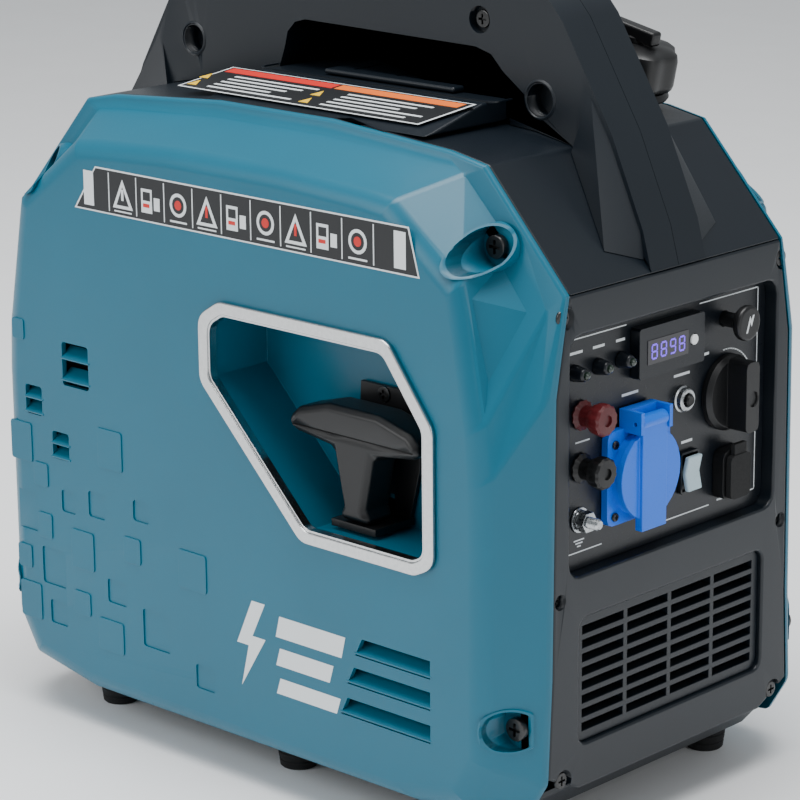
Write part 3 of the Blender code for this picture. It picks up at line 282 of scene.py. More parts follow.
def moulding(node, radius, weigh=None, segments=3, angle=35):
    """A frame node's own shape, merged, with its edges rounded; it stands in for the node."""
    piece = frame["nodes"][node].copy()
    piece.data = piece.data.copy()
    piece.name = node + "_moulding"
    piece.parent = None
    bpy.context.collection.objects.link(piece)
    edit(piece, (bpy.ops.mesh.remove_doubles, {"threshold": 0.00001}),
         (bpy.ops.mesh.dissolve_limited, {"angle_limit": math.radians(0.5)}))
    if weigh:
        work = bmesh.new()
        work.from_mesh(piece.data)
        layer = work.edges.layers.float.new("bevel_weight_edge")
        for edge in work.edges:
            if len(edge.link_faces) == 2 and edge.calc_face_angle(0) > math.radians(12):
                edge[layer] = weigh(edge)
        work.to_mesh(piece.data)
        work.free()
        modify(piece, "BEVEL", width=radius, segments=segments, limit_method="WEIGHT",
               loop_slide=False)
    elif radius:
        modify(piece, "BEVEL", width=radius, segments=segments, limit_method="ANGLE",
               angle_limit=math.radians(angle), loop_slide=False)
    modify(piece, "TRIANGULATE", min_vertices=5)
    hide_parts(node)
    return piece


def rounded_corners(width, height, radius, centre=(0, 0), steps=6):
    """The outline of a rectangle with round corners."""
    points = []
    for quarter, (sx, sy) in enumerate(((1, 1), (-1, 1), (-1, -1), (1, -1))):
        for k in range(steps + 1):
            turn = math.radians(90 * quarter + 90 * k / steps)
            points.append((centre[0] + sx * (width / 2 - radius) + radius * math.cos(turn),
                           centre[1] + sy * (height / 2 - radius) + radius * math.sin(turn)))
    return points


def shell_edge(edge):
    """How far each edge of a side cover is turned: broad around the face, small at the rims."""
    middle = (edge.verts[0].co + edge.verts[1].co) / 2
    outward = middle - SHELL_MIDDLE
    if not edge.is_convex or any(face.normal.dot(outward) < 0 for face in edge.link_faces):
        return 0.0
    broad = edge.calc_face_angle(0) < BROAD_TURN
    if abs(middle.y) > SIDE - 0.0003 and broad:
        return 1.0
    return 0.25 if abs(middle.y) > SIDE_RIM and broad else 0.06


# In millimetres. Small raised and sunk tiles over the lower rear of the face, and slotted
# vents among them: x, z, width, height. Louvres at the lower front: x from, x to, z.
RAISED = ((-170, 227, 10, 12), (-171, 161, 18, 23), (-95, 170, 20, 23), (-155, 144, 12, 14),
          (-153, 114, 12, 15), (-121, 106, 19, 23), (-172, 92, 12, 14), (-79, 115, 14, 15),
          (-30, 114, 22, 22), (-168, 66, 18, 22), (-123, 74, 14, 14), (-99, 60, 21, 19))
SUNK = ((-169, 120, 18, 23), (-132, 132, 12, 13), (-108, 135, 14, 15), (-71, 139, 13, 12),
        (-147, 90, 20, 22), (-144, 63, 15, 14), (-93, 87, 16, 14), (-61, 72, 22, 22),
        (-22, 54, 15, 14))
VENTS = ((-122, 213, 22, 25), (-159, 187, 14, 17), (-137, 164, 14, 16))
LOUVRES = ((98, 146, 101), (92, 146, 84), (87, 146, 66))
# The service door's space on the far face: x from, x to, z from, z to
DOOR_SPACE = (-137, 47, 62, 242)
# In metres: the place of each pocket and the distance of its floor from the middle plane
SCREW_POCKETS = (((0.163, 0.318), 0.0925), ((-0.162, 0.317), 0.0925), ((0.190, 0.076), 0.108),
                 ((-0.190, 0.076), 0.108))


def mm(*points):
    """Points given in millimetres, in metres."""
    return [(a / 1000, b / 1000) for a, b in points]


def bar(x0, z0, x1, z1):
    """The outline of an upright rectangle given in millimetres."""
    return mm((x0, z0), (x1, z0), (x1, z1), (x0, z1))


def clear_of_door(side, x, z):
    """Whether a detail at x, z is off the service door, which only the far side has."""
    left, right, bottom, top = DOOR_SPACE
    return side < 0 or not (left < x < right and bottom < z < top)


def tile_outline(x, z, width, height):
    """The outline of a tile or vent given in millimetres, with round corners."""
    return rounded_corners(width / 1000, height / 1000, 0.0018, (x / 1000, z / 1000), 3)


screws = []
# Zinc-plated then blackened steel: dark, with a soft metallic glint
black_screw_steel = moulded("blackened_screw_steel", "0B0C0D", 0.34, grain=0.0009, coat=0.3)


def screw(name, axis, centre, seat, face, radius=0.0042):
    """A pan-head screw with a cross recess; it sits on seat and its head ends at face."""
    head = disc(name, axis, centre, radius, seat, face, 0.0009, 32)
    depth = (face - seat) * 0.55
    a, b = centre
    for wide, tall in ((radius * 1.15, radius * 0.26), (radius * 0.26, radius * 1.15)):
        low = {"x": (face - depth, a - wide / 2, b - tall / 2),
               "y": (a - wide / 2, face - depth, b - tall / 2)}[axis]
        high = {"x": (face + depth, a + wide / 2, b + tall / 2),
                "y": (a + wide / 2, face + depth, b + tall / 2)}[axis]
        cut(head, slab("cross", low, high))
    screws.append(head)


for side, node in ((-1, "near_side_cover"), (1, "far_side_cover")):
    hull = frame["nodes"][node].copy()
    hull.data = hull.data.copy()
    hull.parent = None
    bpy.context.collection.objects.link(hull)
    edit(hull, (bpy.ops.mesh.convex_hull, {}))
    cover = moulding(node, 0.008, shell_edge, segments=5)
    face = side * SIDE
    past = face + side * PAST_FACE
    cutters = [plate("sunk", tile_outline(*tile), "y", face - side * TILE_STEP, past)
               for tile in SUNK if clear_of_door(side, *tile[:2])]
    vents = [vent for vent in VENTS if clear_of_door(side, *vent[:2])]
    cutters += [plate("vent", tile_outline(*vent), "y", face - side * VENT_DEPTH, past)
                for vent in vents]
    cutters += [plate("louvre", mm((x0 - 5, z - 5), (x1, z - 5), (x1, z + 5), (x0, z + 5)), "y",
                      face - side * VENT_DEPTH, past) for x0, x1, z in LOUVRES]
    for place, depth in SCREW_POCKETS:
        cutters.append(disc("pocket", "y", place, POCKET_RADIUS, side * depth, side * 0.14))
    cut(cover, *cutters)
    cups = []
    for place, depth in SCREW_POCKETS:
        cup = disc("cup", "y", place, CUP_RADIUS, side * (depth - 0.0012), side * 0.14)
        cut(cup, disc("bore", "y", place, POCKET_RADIUS, side * depth, side * 0.15))
        modify(cup, "BOOLEAN", object=hull, operation="INTERSECT", solver="MANIFOLD")
        cups.append(cup)
        screw("side_screw", "y", place, side * depth, side * (depth + 0.0042), 0.0062)
    remove(hull)
    dress(join(node + "_screw_pockets", cups), teal_plastic)
    dress(cover, teal_plastic, angle=25)
    tiles = [plate("tile", tile_outline(*tile), "y", face - side * TILE_STEP,
                   face + side * 0.0007, 0.0003)
             for tile in RAISED if clear_of_door(side, *tile[:2])]
    dress(join(node + "_raised_tiles", tiles), teal_plastic)
    blades = []
    for x, z, width, height in vents:
        for step in (-0.25, 0.25):
            middle = (z + step * height) / 1000
            blade = slab("blade", ((x - width / 2 - 1) / 1000, -0.0060, -0.0007),
                         ((x + width / 2 + 1) / 1000, 0.0040, 0.0007), 0.0004)
            blade.data.transform(Matrix.Translation((0, face - side * 0.0045, middle))
                                 @ Matrix.Rotation(side * math.radians(-35), 4, "X"))
            blades.append(blade)
    for x0, x1, z in LOUVRES:
        blade = slab("blade", ((x0 - 6) / 1000, -0.0080, -0.0008),
                     ((x1 + 1) / 1000, 0.0055, 0.0008), 0.0005)
        blade.data.transform(Matrix.Translation((0, face - side * 0.0068, z / 1000))
                             @ Matrix.Rotation(side * math.radians(-30), 4, "X"))
        blades.append(blade)
    dress(join(node + "_louvre_blades", blades), teal_plastic)


# ---------------------------------------------------------------- printed labels on the side
# Screen-printed polyester labels stuck on the near face: a dark strip of generic picture
# cells inside a white line, and a small print block low on the right.
INK = 0.00012            # the thickness of one printed layer
# Satin ink: flat and even
label_black = moulded("label_ink_black", "121417", 0.42, mottle=0.02, depth=0.000002)
label_white = moulded("label_ink_white", "D9DEE0", 0.45, mottle=0.02, depth=0.000002)
label_red = moulded("label_ink_red", "C4231C", 0.45, mottle=0.02, depth=0.000002)
label_orange = moulded("label_ink_orange", "E06A1B", 0.45, mottle=0.02, depth=0.000002)
label_yellow = moulded("label_ink_yellow", "E3B71E", 0.45, mottle=0.02, depth=0.000002)


def ink(name, outline, axis, at, side=-1, thickness=INK):
    """A shape printed on a flat face."""
    return plate(name, outline, axis, at, at + side * thickness)


def ring_of(radius, x, z, sides=20):
    """The outline of a round given in millimetres."""
    return [((x + radius * math.cos(2 * math.pi * k / sides)) / 1000,
             (z + radius * math.sin(2 * math.pi * k / sides)) / 1000) for k in range(sides)]


strip = mm((-117, 304), (141, 304), (134, 329), (-99, 329))
dress(ink("side_label_outline", strip, "y", -SIDE), label_white)
inner = mm((-115, 304.9), (139.8, 304.9), (133.2, 328.1), (-98.5, 328.1))
dress(ink("side_label_field", inner, "y", -SIDE - INK), label_black)
white, red = [], []
at = -SIDE - 2 * INK
for x0 in (-108.5, 124.0):
    white.append(ink("end_bar", bar(x0, 307, x0 + 8, 326), "y", at))
for k in range(10):
    x = -88 + 22 * k
    white.append(ink("divider", bar(x - 0.35, 306, x + 0.35, 327), "y", at))
    if k == 9:
        continue
    c = x + 11
    if k % 3 == 0:
        white.append(ink("sign", mm((c - 8, 308.5), (c + 8, 308.5), (c, 324.5)), "y", at))
        white.append(ink("line", bar(c - 7, 306.4, c + 7, 307.2), "y", at))
        (red if k else white).append(ink("mark", bar(c - 0.9, 313, c + 0.9, 319), "y", at - INK))
    elif k % 3 == 1:
        white.append(ink("sign", bar(c - 7, 309, c + 1.5, 322), "y", at))
        white.append(ink("sign", bar(c + 3, 311, c + 7.5, 318), "y", at))
        red.append(ink("mark", bar(c - 5.5, 312, c - 0.5, 314), "y", at - INK))
    else:
        white.append(ink("sign", ring_of(6.4, c, 316.5), "y", at))
        white.append(ink("line", bar(c - 6.5, 307.0, c + 6.5, 308.0), "y", at))
        red.append(ink("mark", ring_of(2.6, c, 316.5), "y", at - INK))
dark = []
for k in range(9):
    c = -77 + 22 * k
    hole = (mm((c - 5, 310.2), (c + 5, 310.2), (c, 320.5)), bar(c - 5.6, 315.6, c + 0.2, 320.4),
            ring_of(4.6, c, 316.5))[k % 3]
    dark.append(ink("hole", hole, "y", at - 0.00008, thickness=0.00006))
dress(join("side_label_signs", white), label_white)
dress(join("side_label_red_marks", red), label_red)
dress(join("side_label_sign_centres", dark), label_black)

# The block low on the right: a bolt sign beside three plain bars
bolt = mm((16, 108), (4, 82), (13, 82), (7, 58), (26, 88), (16, 88), (26, 108))
block = [ink("bolt", bolt, "y", -SIDE)]
for z0, z1, x1 in ((92, 104, 83), (76, 86, 74), (60, 69, 79)):
    block.append(ink("line", mm((34, z0), (x1, z0), (x1 + 3, z1), (37, z1)), "y", -SIDE))
dress(join("side_print_block", block), label_white)


# ---------------------------------------------------------------- recoil surround
# A pressed stainless frame round the starter recess, polished, clipped over the shell's edge.
# Its flat band returns inwards in a soft roll and its corners are round.


def eased(outline, distance, radius, steps=5):
    """An outline moved outwards by a distance, with its corners then rounded."""
    points = [Vector(point) for point in outline]
    area = sum(a.x * b.y - b.x * a.y for a, b in zip(points, points[1:] + points[:1]))
    turn = 1 if area > 0 else -1
    moved = []
    for k, point in enumerate(points):
        before, after = point - points[k - 1], points[(k + 1) % len(points)] - point
        n1 = Vector((before.y, -before.x)).normalized() * turn
        n2 = Vector((after.y, -after.x)).normalized() * turn
        moved.append(point + (n1 + n2) / (1 + n1.dot(n2)) * distance)
    rounded = []
    for k, point in enumerate(moved):
        back, on = moved[k - 1] - point, moved[(k + 1) % len(moved)] - point
        half = back.angle(on) / 2
        reach = min(radius / math.tan(half), back.length * 0.48, on.length * 0.48)
        start, end = point + back.normalized() * reach, point + on.normalized() * reach
        for step in range(steps + 1):
            t = step / steps
            rounded.append(tuple(start * (1 - t) ** 2 + point * 2 * t * (1 - t) + end * t ** 2))
    return rounded


def loop(name, outside, inside, axis, low, high, edge=0.0):
    """A closed band between two outlines."""
    ring = plate(name, outside, axis, low, high)
    sign = 1 if high > low else -1
    cut(ring, plate("inside", inside, axis, low - sign * 0.002, high + sign * 0.002))
    if edge:
        modify(ring, "BEVEL", width=edge, segments=3, limit_method="ANGLE",
               angle_limit=math.radians(50))
    return ring


recoil_hole = mm((-1, 266), (118, 266), (147, 228), (147, 159), (137, 154), (58, 154),
                 (-14, 226), (-14, 258))
# Rolled stainless steel: bright, with faint drawn lines along the strip
polished_steel = bpy.data.materials.new("stainless_steel_polished")
polished_steel.use_nodes = True
tree = polished_steel.node_tree
shader = tree.nodes["Principled BSDF"]
shader.inputs["Metallic"].default_value = 1.0
place = add(tree, "ShaderNodeTexCoord").outputs["Object"]
drawn = add(tree, "ShaderNodeMapping", {"Scale": (1, 4, 1)}, {"Vector": place})
lines = add(tree, "ShaderNodeTexNoise", {"Scale": 420.0, "Detail": 3.0},
            {"Vector": drawn.outputs["Vector"]})
tone = add(tree, "ShaderNodeValToRGB", {}, {"Fac": lines.outputs["Fac"]})
tone.color_ramp.elements[0].color = linear("B9BBBC")
tone.color_ramp.elements[1].color = linear("D8D9D9")
tree.links.new(tone.outputs["Color"], shader.inputs["Base Color"])
rough = add(tree, "ShaderNodeMapRange", {"To Min": 0.14, "To Max": 0.26},
            {"Value": lines.outputs["Fac"]})
tree.links.new(rough.outputs["Result"], shader.inputs["Roughness"])
bump = add(tree, "ShaderNodeBump", {"Strength": 1.0, "Distance": 0.000004},
           {"Height": lines.outputs["Fac"]})
tree.links.new(bump.outputs["Normal"], shader.inputs["Normal"])

band = loop("surround", eased(recoil_hole, 0.0039, 0.012), eased(recoil_hole, -0.0028, 0.010),
            "y", -0.1272, -0.1298, 0.0009)
roll = loop("surround_roll", eased(recoil_hole, -0.0006, 0.010), eased(recoil_hole, -0.0040, 0.009),
            "y", -0.1235, -0.1288, 0.0012)
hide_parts("recoil_surround")
dress(join("surround_band", [band, roll]), polished_steel)


# ---------------------------------------------------------------- recoil recess, guide and grip
# The recess is a teal tub behind the shell. A black nylon guide plate is screwed to its floor,
# and the T-shaped grip stands on the guide's shelf with the rope's end inside its stem.
# Glass-filled nylon: dark, fine grain, soft sheen
black_nylon = moulded("black_nylon_moulded", "0A0B0D", 0.40, depth=0.000012)
tub = moulding("recoil_recess", 0.0035, segments=3)
dress(tub, teal_plastic)
guide = moulding("recoil_guide", 0.0012)
dress(guide, black_nylon)
screw("guide_screw", "y", (0.079, 0.226), -0.0857, -0.0895, 0.0045)
grip_low, grip_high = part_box("recoil_grip")
grip = moulding("recoil_grip", 0.0042, segments=4, angle=28)
groove = slab("grip_line", (grip_low.x - 0.01, grip_low.y - 0.002, grip_low.z + 0.0455),
              (grip_high.x + 0.01, grip_low.y + 0.0006, grip_low.z + 0.0462))
cut(grip, groove)
dress(grip, black_nylon, "recoil_grip", angle=40)
# Braided polyester cord: pale, matt, a 1 mm plait
rope_braid = moulded("braided_polyester_cord", "DDD8CA", 0.9, grain=0.001, depth=0.0003)
dress(moulding("recoil_rope", 0.0006), rope_braid)


# ---------------------------------------------------------------- end frames and base
# Black glass-filled polypropylene frames close the two ends, screwed to the base pan. The
# front one is sunk for the controls; both are satin with softly broken edges.
# Bluish black with a fine grain; highlights are broad and dull
black_plastic = moulded("black_polypropylene_grained", "0A131B", 0.36, mottle=0.06, depth=0.000015)
for node in ("front_frame", "rear_frame"):
    body = moulding(node, 0.0022, segments=3, angle=30)
    sign = 1 if node == "front_frame" else -1
    for y, z in ((88, 286.5), (-88, 286.5), (88, 44), (-88, 44)):
        place = (y / 1000, z / 1000)
        cut(body, disc("pocket", "x", place, 0.0062, sign * 0.1988, sign * 0.21, sides=32))
        screw("frame_screw", "x", place, sign * 0.1986, sign * 0.2008, 0.0045)
    for y in (-91, 91):
        place = (y / 1000, 0.141)
        cut(body, disc("hole", "x", place, 0.0042, sign * 0.1965, sign * 0.21, sides=32))
        screw("mid_screw", "x", place, sign * 0.1963, sign * 0.1985, 0.0034)
    dress(body, black_plastic)
dress(moulding("base_pan", 0.002), black_plastic)
for node in ("front_grille", "rear_grille"):
    grille = moulding(node, 0.0009, segments=2, angle=50)
    dress(grille, black_plastic)
# A dark sheet a few millimetres behind each grille's slots: painted shade standing in for the dark
# inside seen through them
for name, x, node in (("front", 0.1905, "front_grille"), ("rear", -0.1905, "rear_grille")):
    low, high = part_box(node)
    shade_sheet = slab(name + "_grille_shade_sheet", (x - 0.0006, low.y + 0.003, low.z + 0.003),
                  (x + 0.0006, high.y - 0.003, high.z - 0.003), 0.0004)
    # the sheet is no real part; its black is painted shade in the slots
    dress(shade_sheet, black_nylon)


# ---------------------------------------------------------------- feet
# Six moulded rubber feet, pushed into the base pan. Each is a short ribbed cone on a flange.
# Matt black rubber with a dusty grey bloom
rubber = moulded("moulded_rubber_matt", "101112", 0.8, grain=0.0012, mottle=0.15, depth=0.00005)


def turned(name, axis, centre, profile, steps=48):
    """A profile of (radius, place along the axis), closed on the axis or as a ring, spun round."""
    deselect()
    bpy.ops.mesh.primitive_circle_add(vertices=len(profile), fill_type="NOTHING")
    piece = bpy.context.object
    piece.name = name
    for vertex, (radius, along) in zip(piece.data.vertices, profile):
        vertex.co = {"x": (along, centre[0] + radius, centre[1]),
                     "y": (centre[0] + radius, along, centre[1]),
                     "z": (centre[0] + radius, centre[1], along)}[axis]
    middle = {"x": (0, centre[0], centre[1]), "y": (centre[0], 0, centre[1]),
              "z": (centre[0], centre[1], 0)}[axis]
    turn = {"x": (1, 0, 0), "y": (0, 1, 0), "z": (0, 0, 1)}[axis]
    whole_turn = {"steps": steps, "angle": 2 * math.pi, "center": middle, "axis": turn}
    edit(piece, (bpy.ops.mesh.spin, whole_turn),
         (bpy.ops.mesh.select_all, {"action": "SELECT"}),
         (bpy.ops.mesh.remove_doubles, {"threshold": 0.000005}),
         (bpy.ops.mesh.dissolve_degenerate, {"threshold": 0.000001}),
         (bpy.ops.mesh.delete_loose, {}),
         (bpy.ops.mesh.select_all, {"action": "SELECT"}),
         (bpy.ops.mesh.normals_make_consistent, {"inside": False}))
    return piece


for node in [name for name in frame["nodes"] if name.startswith("foot_")]:
    low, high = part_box(node)
    x, y = (low.x + high.x) / 2, (low.y + high.y) / 2
    foot = turned(node + "_rubber", "z", (x, y),
                  [(0, 0.0), (0.0098, 0.0), (0.0106, 0.0008), (0.0110, 0.0040), (0.0104, 0.0046),
                   (0.0112, 0.0054), (0.0116, 0.0086), (0.0109, 0.0092), (0.0118, 0.0100),
                   (0.0124, 0.0150), (0.0118, 0.0157), (0, 0.0157)])
    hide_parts(node)
    dress(foot, rubber, angle=50)


# ---------------------------------------------------------------- top cover and hatch
# One black moulding roofs the tank, with a raised middle under the handle. A hatch over the
# spark plug lifts out of it, and printed labels lie on its slope and its plateau.
top = moulding("top_cover", 0.0018, segments=3, angle=8)
dress(top, black_plastic, angle=30)
hatch = moulding("plug_hatch", 0.0012)
for k in range(3):
    x = -0.005 + 0.032 * k
    cut(hatch, slab("finger_line", (x - 0.0008, -0.022, 0.3779), (x + 0.0008, 0.022, 0.380)))
dress(hatch, black_plastic, "plug_hatch")
plateau = loop("plateau_line", rounded_corners(0.174, 0.074, 0.006, (0.022, 0)),
               rounded_corners(0.1716, 0.0716, 0.005, (0.022, 0)), "z", 0.3748, 0.3757, 0.0003)
dress(plateau, black_plastic)


SLOPE_NORMAL = Vector((0, -0.26, 0.965))


def on_slope(x, y):
    """A point on the near slope of the top, which rises 8.8 mm from y -77 to y -45."""
    return Vector((x / 1000, y / 1000, 0.3662 + 0.0088 * (77 + y) / 32))


def slope_ink(name, corners, lift):
    """Ink on the sloping side of the top: a flat shape, laid on and thickened."""
    deselect()
    bpy.ops.mesh.primitive_circle_add(vertices=len(corners), fill_type="NGON")
    piece = bpy.context.object
    piece.name = name
    for vertex, corner in zip(piece.data.vertices, corners):
        vertex.co = on_slope(*corner) + SLOPE_NORMAL * lift
    up = {"value": (0, 0, 0.00015)}
    edit(piece, (bpy.ops.mesh.extrude_region_move, {"TRANSFORM_OT_translate": up}),
         (bpy.ops.mesh.select_all, {"action": "SELECT"}),
         (bpy.ops.mesh.normals_make_consistent, {"inside": False}))
    return piece


def slope_bar(x0, y0, x1, y1):
    """A bar in millimetres on that slope, slanted like the label's ends."""
    shift0, shift1 = (y0 + 75) * 0.47, (y1 + 75) * 0.47
    return [(x0 + shift0, y0), (x1 + shift0, y0), (x1 + shift1, y1), (x0 + shift1, y1)]


for name, corners, lift, material, slot in (
        ("top_label_outline", (-88, -75, 92, -46), 0.0006, label_white, "white_plastic"),
        ("top_label_field", (-86.4, -74.2, 90.6, -46.8), 0.0008, label_black, "soft_black"),
        ("top_label_red_bar", (-84, -53, -2, -48), 0.0010, label_red, "red_plastic"),
        ("top_label_orange_bar", (0, -53, 88, -48), 0.0010, label_orange, "red_plastic")):
    dress(slope_ink(name, slope_bar(*corners), lift), material)
text = []
for column, (x0, x1) in enumerate(((-70, -6), (16, 84))):
    for k in range(5):
        end = x1 - 7 * ((k * 5 + column) % 4)
        text.append(slope_ink("line", slope_bar(x0, -57.2 - 3.6 * k, end, -56.0 - 3.6 * k),
                              0.0010))
dress(join("top_label_lines", text), label_white)
marks = [slope_ink("mark", [(x + 3.5, y - 3), (x + 10.5, y - 3), (x + 8, y + 3)], 0.0010)
         for x, y in ((-87, -60), (-87, -69), (-1, -60), (-1, -69))]
dress(join("top_label_marks", marks), label_yellow)


# ---------------------------------------------------------------- handle
# Two black mouldings meet on the middle line, with a screw at the front of the grip. The legs
# flare into the top cover; round rimmed holes lighten them near the grip.
rims = []
for side, node in ((-1, "handle_near_half"), (1, "handle_far_half")):
    half = moulding(node, 0.0055, segments=4, angle=22)
    for (x, z), radius in (((-0.1317, 0.3825), 0.0078), ((0.1275, 0.3770), 0.0085)):
        cut(half, disc("hole", "y", (x, z), radius, side * 0.0120, side * 0.060, sides=40))
        rims.append(turned("rim", "y", (x, z),
                           [(radius, side * 0.0216), (radius + 0.0010, side * 0.0226),
                            (radius + 0.0020, side * 0.0222), (radius + 0.0024, side * 0.0214),
                            (radius, side * 0.0210)], 40))
    cut(half, disc("hole", "y", (0.086, 0.4142), 0.0072, side * 0.0170, side * 0.060, sides=40))
    screw("handle_screw", "y", (0.086, 0.4142), side * 0.0168, side * 0.0198, 0.0048)
    dress(half, black_plastic, angle=40)
dress(join("handle_hole_rims", rims), black_plastic)


# ---------------------------------------------------------------- service door
# A teal door over the air filter on the far side: a flat moulding with a rim and six shallow
# grooves, lifted straight off.
door = moulding("service_door", 0.0012, segments=3, angle=30)
for k in range(6):
    x = -0.112 + 0.026 * k
    cut(door, slab("rib", (x, 0.1294, 0.100), (x + 0.014, 0.133, 0.205), 0.0004))
dress(door, teal_plastic, "service_door")


# ---------------------------------------------------------------- control panel
# A black ABS plate set back in the front frame. A printed pale line runs round the fittings,
# with short plain ticks beside each of them.
# Smoother than the frame, with a faint gloss
panel_black = moulded("control_panel_abs", "0A1017", 0.32, mottle=0.04, depth=0.000008)
PANEL = 0.194
panel = moulding("control_panel", 0.0004)
dress(panel, panel_black)
prints = []
# The line's pieces, then the ticks
for corners in ((-77.5, 271.4, -32, 272), (27.5, 271.4, 77.5, 272), (-77.5, 160, -50, 160.6),
                (0, 160, 38, 160.6), (66, 160, 77.5, 160.6), (-77.5, 160, -76.9, 168),
                (-77.5, 186, -76.9, 272), (76.9, 160, 77.5, 272),
                (-76, 264.0, -66, 265.4), (-58, 264.0, -49, 265.4), (-40, 264.0, -33, 265.4),
                (7, 236.0, 20, 237.4), (-35, 234.5, -22, 235.9), (14, 199.0, 23, 200.4),
                (-71, 217.6, -60, 218.4), (30, 243.0, 36, 244.4), (64, 246.0, 70, 247.4),
                (45, 160.9, 58, 161.9)):
    prints.append(plate("line", bar(*corners), "x", PANEL, PANEL + INK))
# The switch's arc and the earth sign
for k in range(12):
    turn0, turn1 = (math.radians(a) for a in (96 - 5.0 * k, 92 - 5.0 * k))
    arc = [(0.0505 + r * math.cos(t), 0.2200 + r * math.sin(t))
           for r, t in ((0.0226, turn0), (0.0226, turn1), (0.0233, turn1), (0.0233, turn0))]
    prints.append(plate("arc", arc, "x", PANEL, PANEL + INK))
for width, z in ((8, 166.2), (5.4, 164.6), (2.8, 163.0)):
    prints.append(plate("earth", bar(-67.8 - width / 2, z, -67.8 + width / 2, z + 0.7), "x",
                        PANEL, PANEL + INK))
dress(join("panel_print", prints), label_white)


# ---------------------------------------------------------------- meter and lamps
# The meter is a black module with a smoked window over a four-figure violet display and a
# round white button. Three lamps sit beside it in black bezels with domed tinted lenses.
meter = moulding("meter_module", 0.0006)
dress(meter, panel_black)
low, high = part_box("meter_module")
# Smoked acrylic: near black, glossy
smoked = moulded("smoked_acrylic_window", "0E0B16", 0.08, depth=0.0000005, mottle=0.01, coat=0.5)
window = plate("meter_window", bar(-22.5, 249.6, 10.5, 262.4), "x", high.x - 0.0001,
               high.x + 0.0003, 0.0001)
dress(window, smoked)
# Violet light-emitting segments behind the window
violet_led = moulded("violet_display_segments", "7A54E8", 0.4, mottle=0.02)
glow = violet_led.node_tree.nodes["Principled BSDF"]
glow.inputs["Emission Color"].default_value = linear("6A48E0")
glow.inputs["Emission Strength"].default_value = 0.9
SEGMENTS = {"a": (0, 1, "h"), "b": (1, 0.5, "v"), "c": (1, -0.5, "v"), "d": (0, -1, "h"),
            "e": (-1, -0.5, "v"), "f": (-1, 0.5, "v"), "g": (0, 0, "h")}
figures = []
for k, lit in enumerate(("abcdefg", "abcdefg", "abcdfg", "abcdefg")):
    y = -17.2 + 7.4 * k
    for letter in lit:
        across, up, way = SEGMENTS[letter]
        cy, cz = y + across * 2.0, 256.0 + up * 3.6
        wide, tall = (1.7, 0.45) if way == "h" else (0.45, 1.5)
        figures.append(plate("segment", bar(cy - wide, cz - tall, cy + wide, cz + tall), "x",
                             high.x + 0.0003, high.x + 0.00042))
dress(join("meter_figures", figures), violet_led)
white_abs = moulded("white_abs_button", "E4E6E6", 0.35)
button_low, button_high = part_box("meter_button")
button = turned("meter_button_cap", "x", (0.0153, 0.2561),
                [(0, button_low.x), (0.0026, button_low.x), (0.0028, button_high.x - 0.0006),
                 (0.0022, button_high.x - 0.0001), (0, button_high.x - 0.0004)], 32)
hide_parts("meter_button")
dress(button, white_abs, "meter_button")
# Clear tinted lens, dark while it is out
lens = moulded("lamp_lens_tinted", "1C2A22", 0.12, depth=0.000001, coat=0.6)
lenses = []
for node in ("run_lamp", "overload_lamp", "oil_lamp"):
    low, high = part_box(node)
    centre = ((low.y + high.y) / 2, (low.z + high.z) / 2)
    dress(moulding(node, 0.0006), panel_black)
    lenses.append(turned("lens", "x", centre, [(0, high.x - 0.0010), (0.0021, high.x - 0.0010),
                                               (0.0020, high.x + 0.0002), (0.0012, high.x + 0.0009),
                                               (0, high.x + 0.0012)], 24))
dress(join("lamp_lenses", lenses), lens)


# ---------------------------------------------------------------- terminals, earth stud, breaker
# Two fluted terminal knobs stand on the panel. The earth stud is a ridged steel rod with
# washers and a hexagonal nut; the reset breaker has a stepped steel collar.
def fluted(name, axis, centre, profile, lobes, depth, steps=72):
    """A turned piece whose widest part is scalloped into lobes."""
    piece = turned(name, axis, centre, profile, steps)
    widest = max(radius for radius, along in profile)
    keep = [k for k in range(3) if "xyz"[k] != axis]
    for vertex in piece.data.vertices:
        a, b = (vertex.co[keep[0]] - centre[0], vertex.co[keep[1]] - centre[1])
        radius = math.hypot(a, b)
        if radius > widest * 0.8:
            scale = 1 - depth * (0.5 + 0.5 * math.cos(lobes * math.atan2(b, a)))
            vertex.co[keep[0]], vertex.co[keep[1]] = centre[0] + a * scale, centre[1] + b * scale
    return piece


# Dark red nylon, slightly translucent at thin edges in life; here a deep satin red
red_nylon = moulded("dark_red_nylon", "4E1216", 0.38)
for node, body, material, slot in (
        ("parallel_terminal_red", "red_terminal", red_nylon, "red_plastic"),
        ("parallel_terminal_black", "black_terminal", black_nylon, "soft_black")):
    low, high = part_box(node)
    centre = ((low.y + high.y) / 2, (low.z + high.z) / 2)
    knob = fluted(node + "_knob", "x", centre,
                  [(0, low.x), (0.0030, low.x), (0.0030, PANEL + 0.0004), (0.0076, PANEL + 0.0004),
                   (0.0080, PANEL + 0.0016), (0.0056, PANEL + 0.0032), (0.0054, PANEL + 0.0072),
                   (0.0078, PANEL + 0.0104), (0.0084, PANEL + 0.0128), (0.0084, high.x - 0.0014),
                   (0.0074, high.x - 0.0002), (0.0030, high.x), (0.0028, high.x - 0.0012),
                   (0, high.x - 0.0012)], 12, 0.07)
    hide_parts(node)
    dress(knob, material, body)

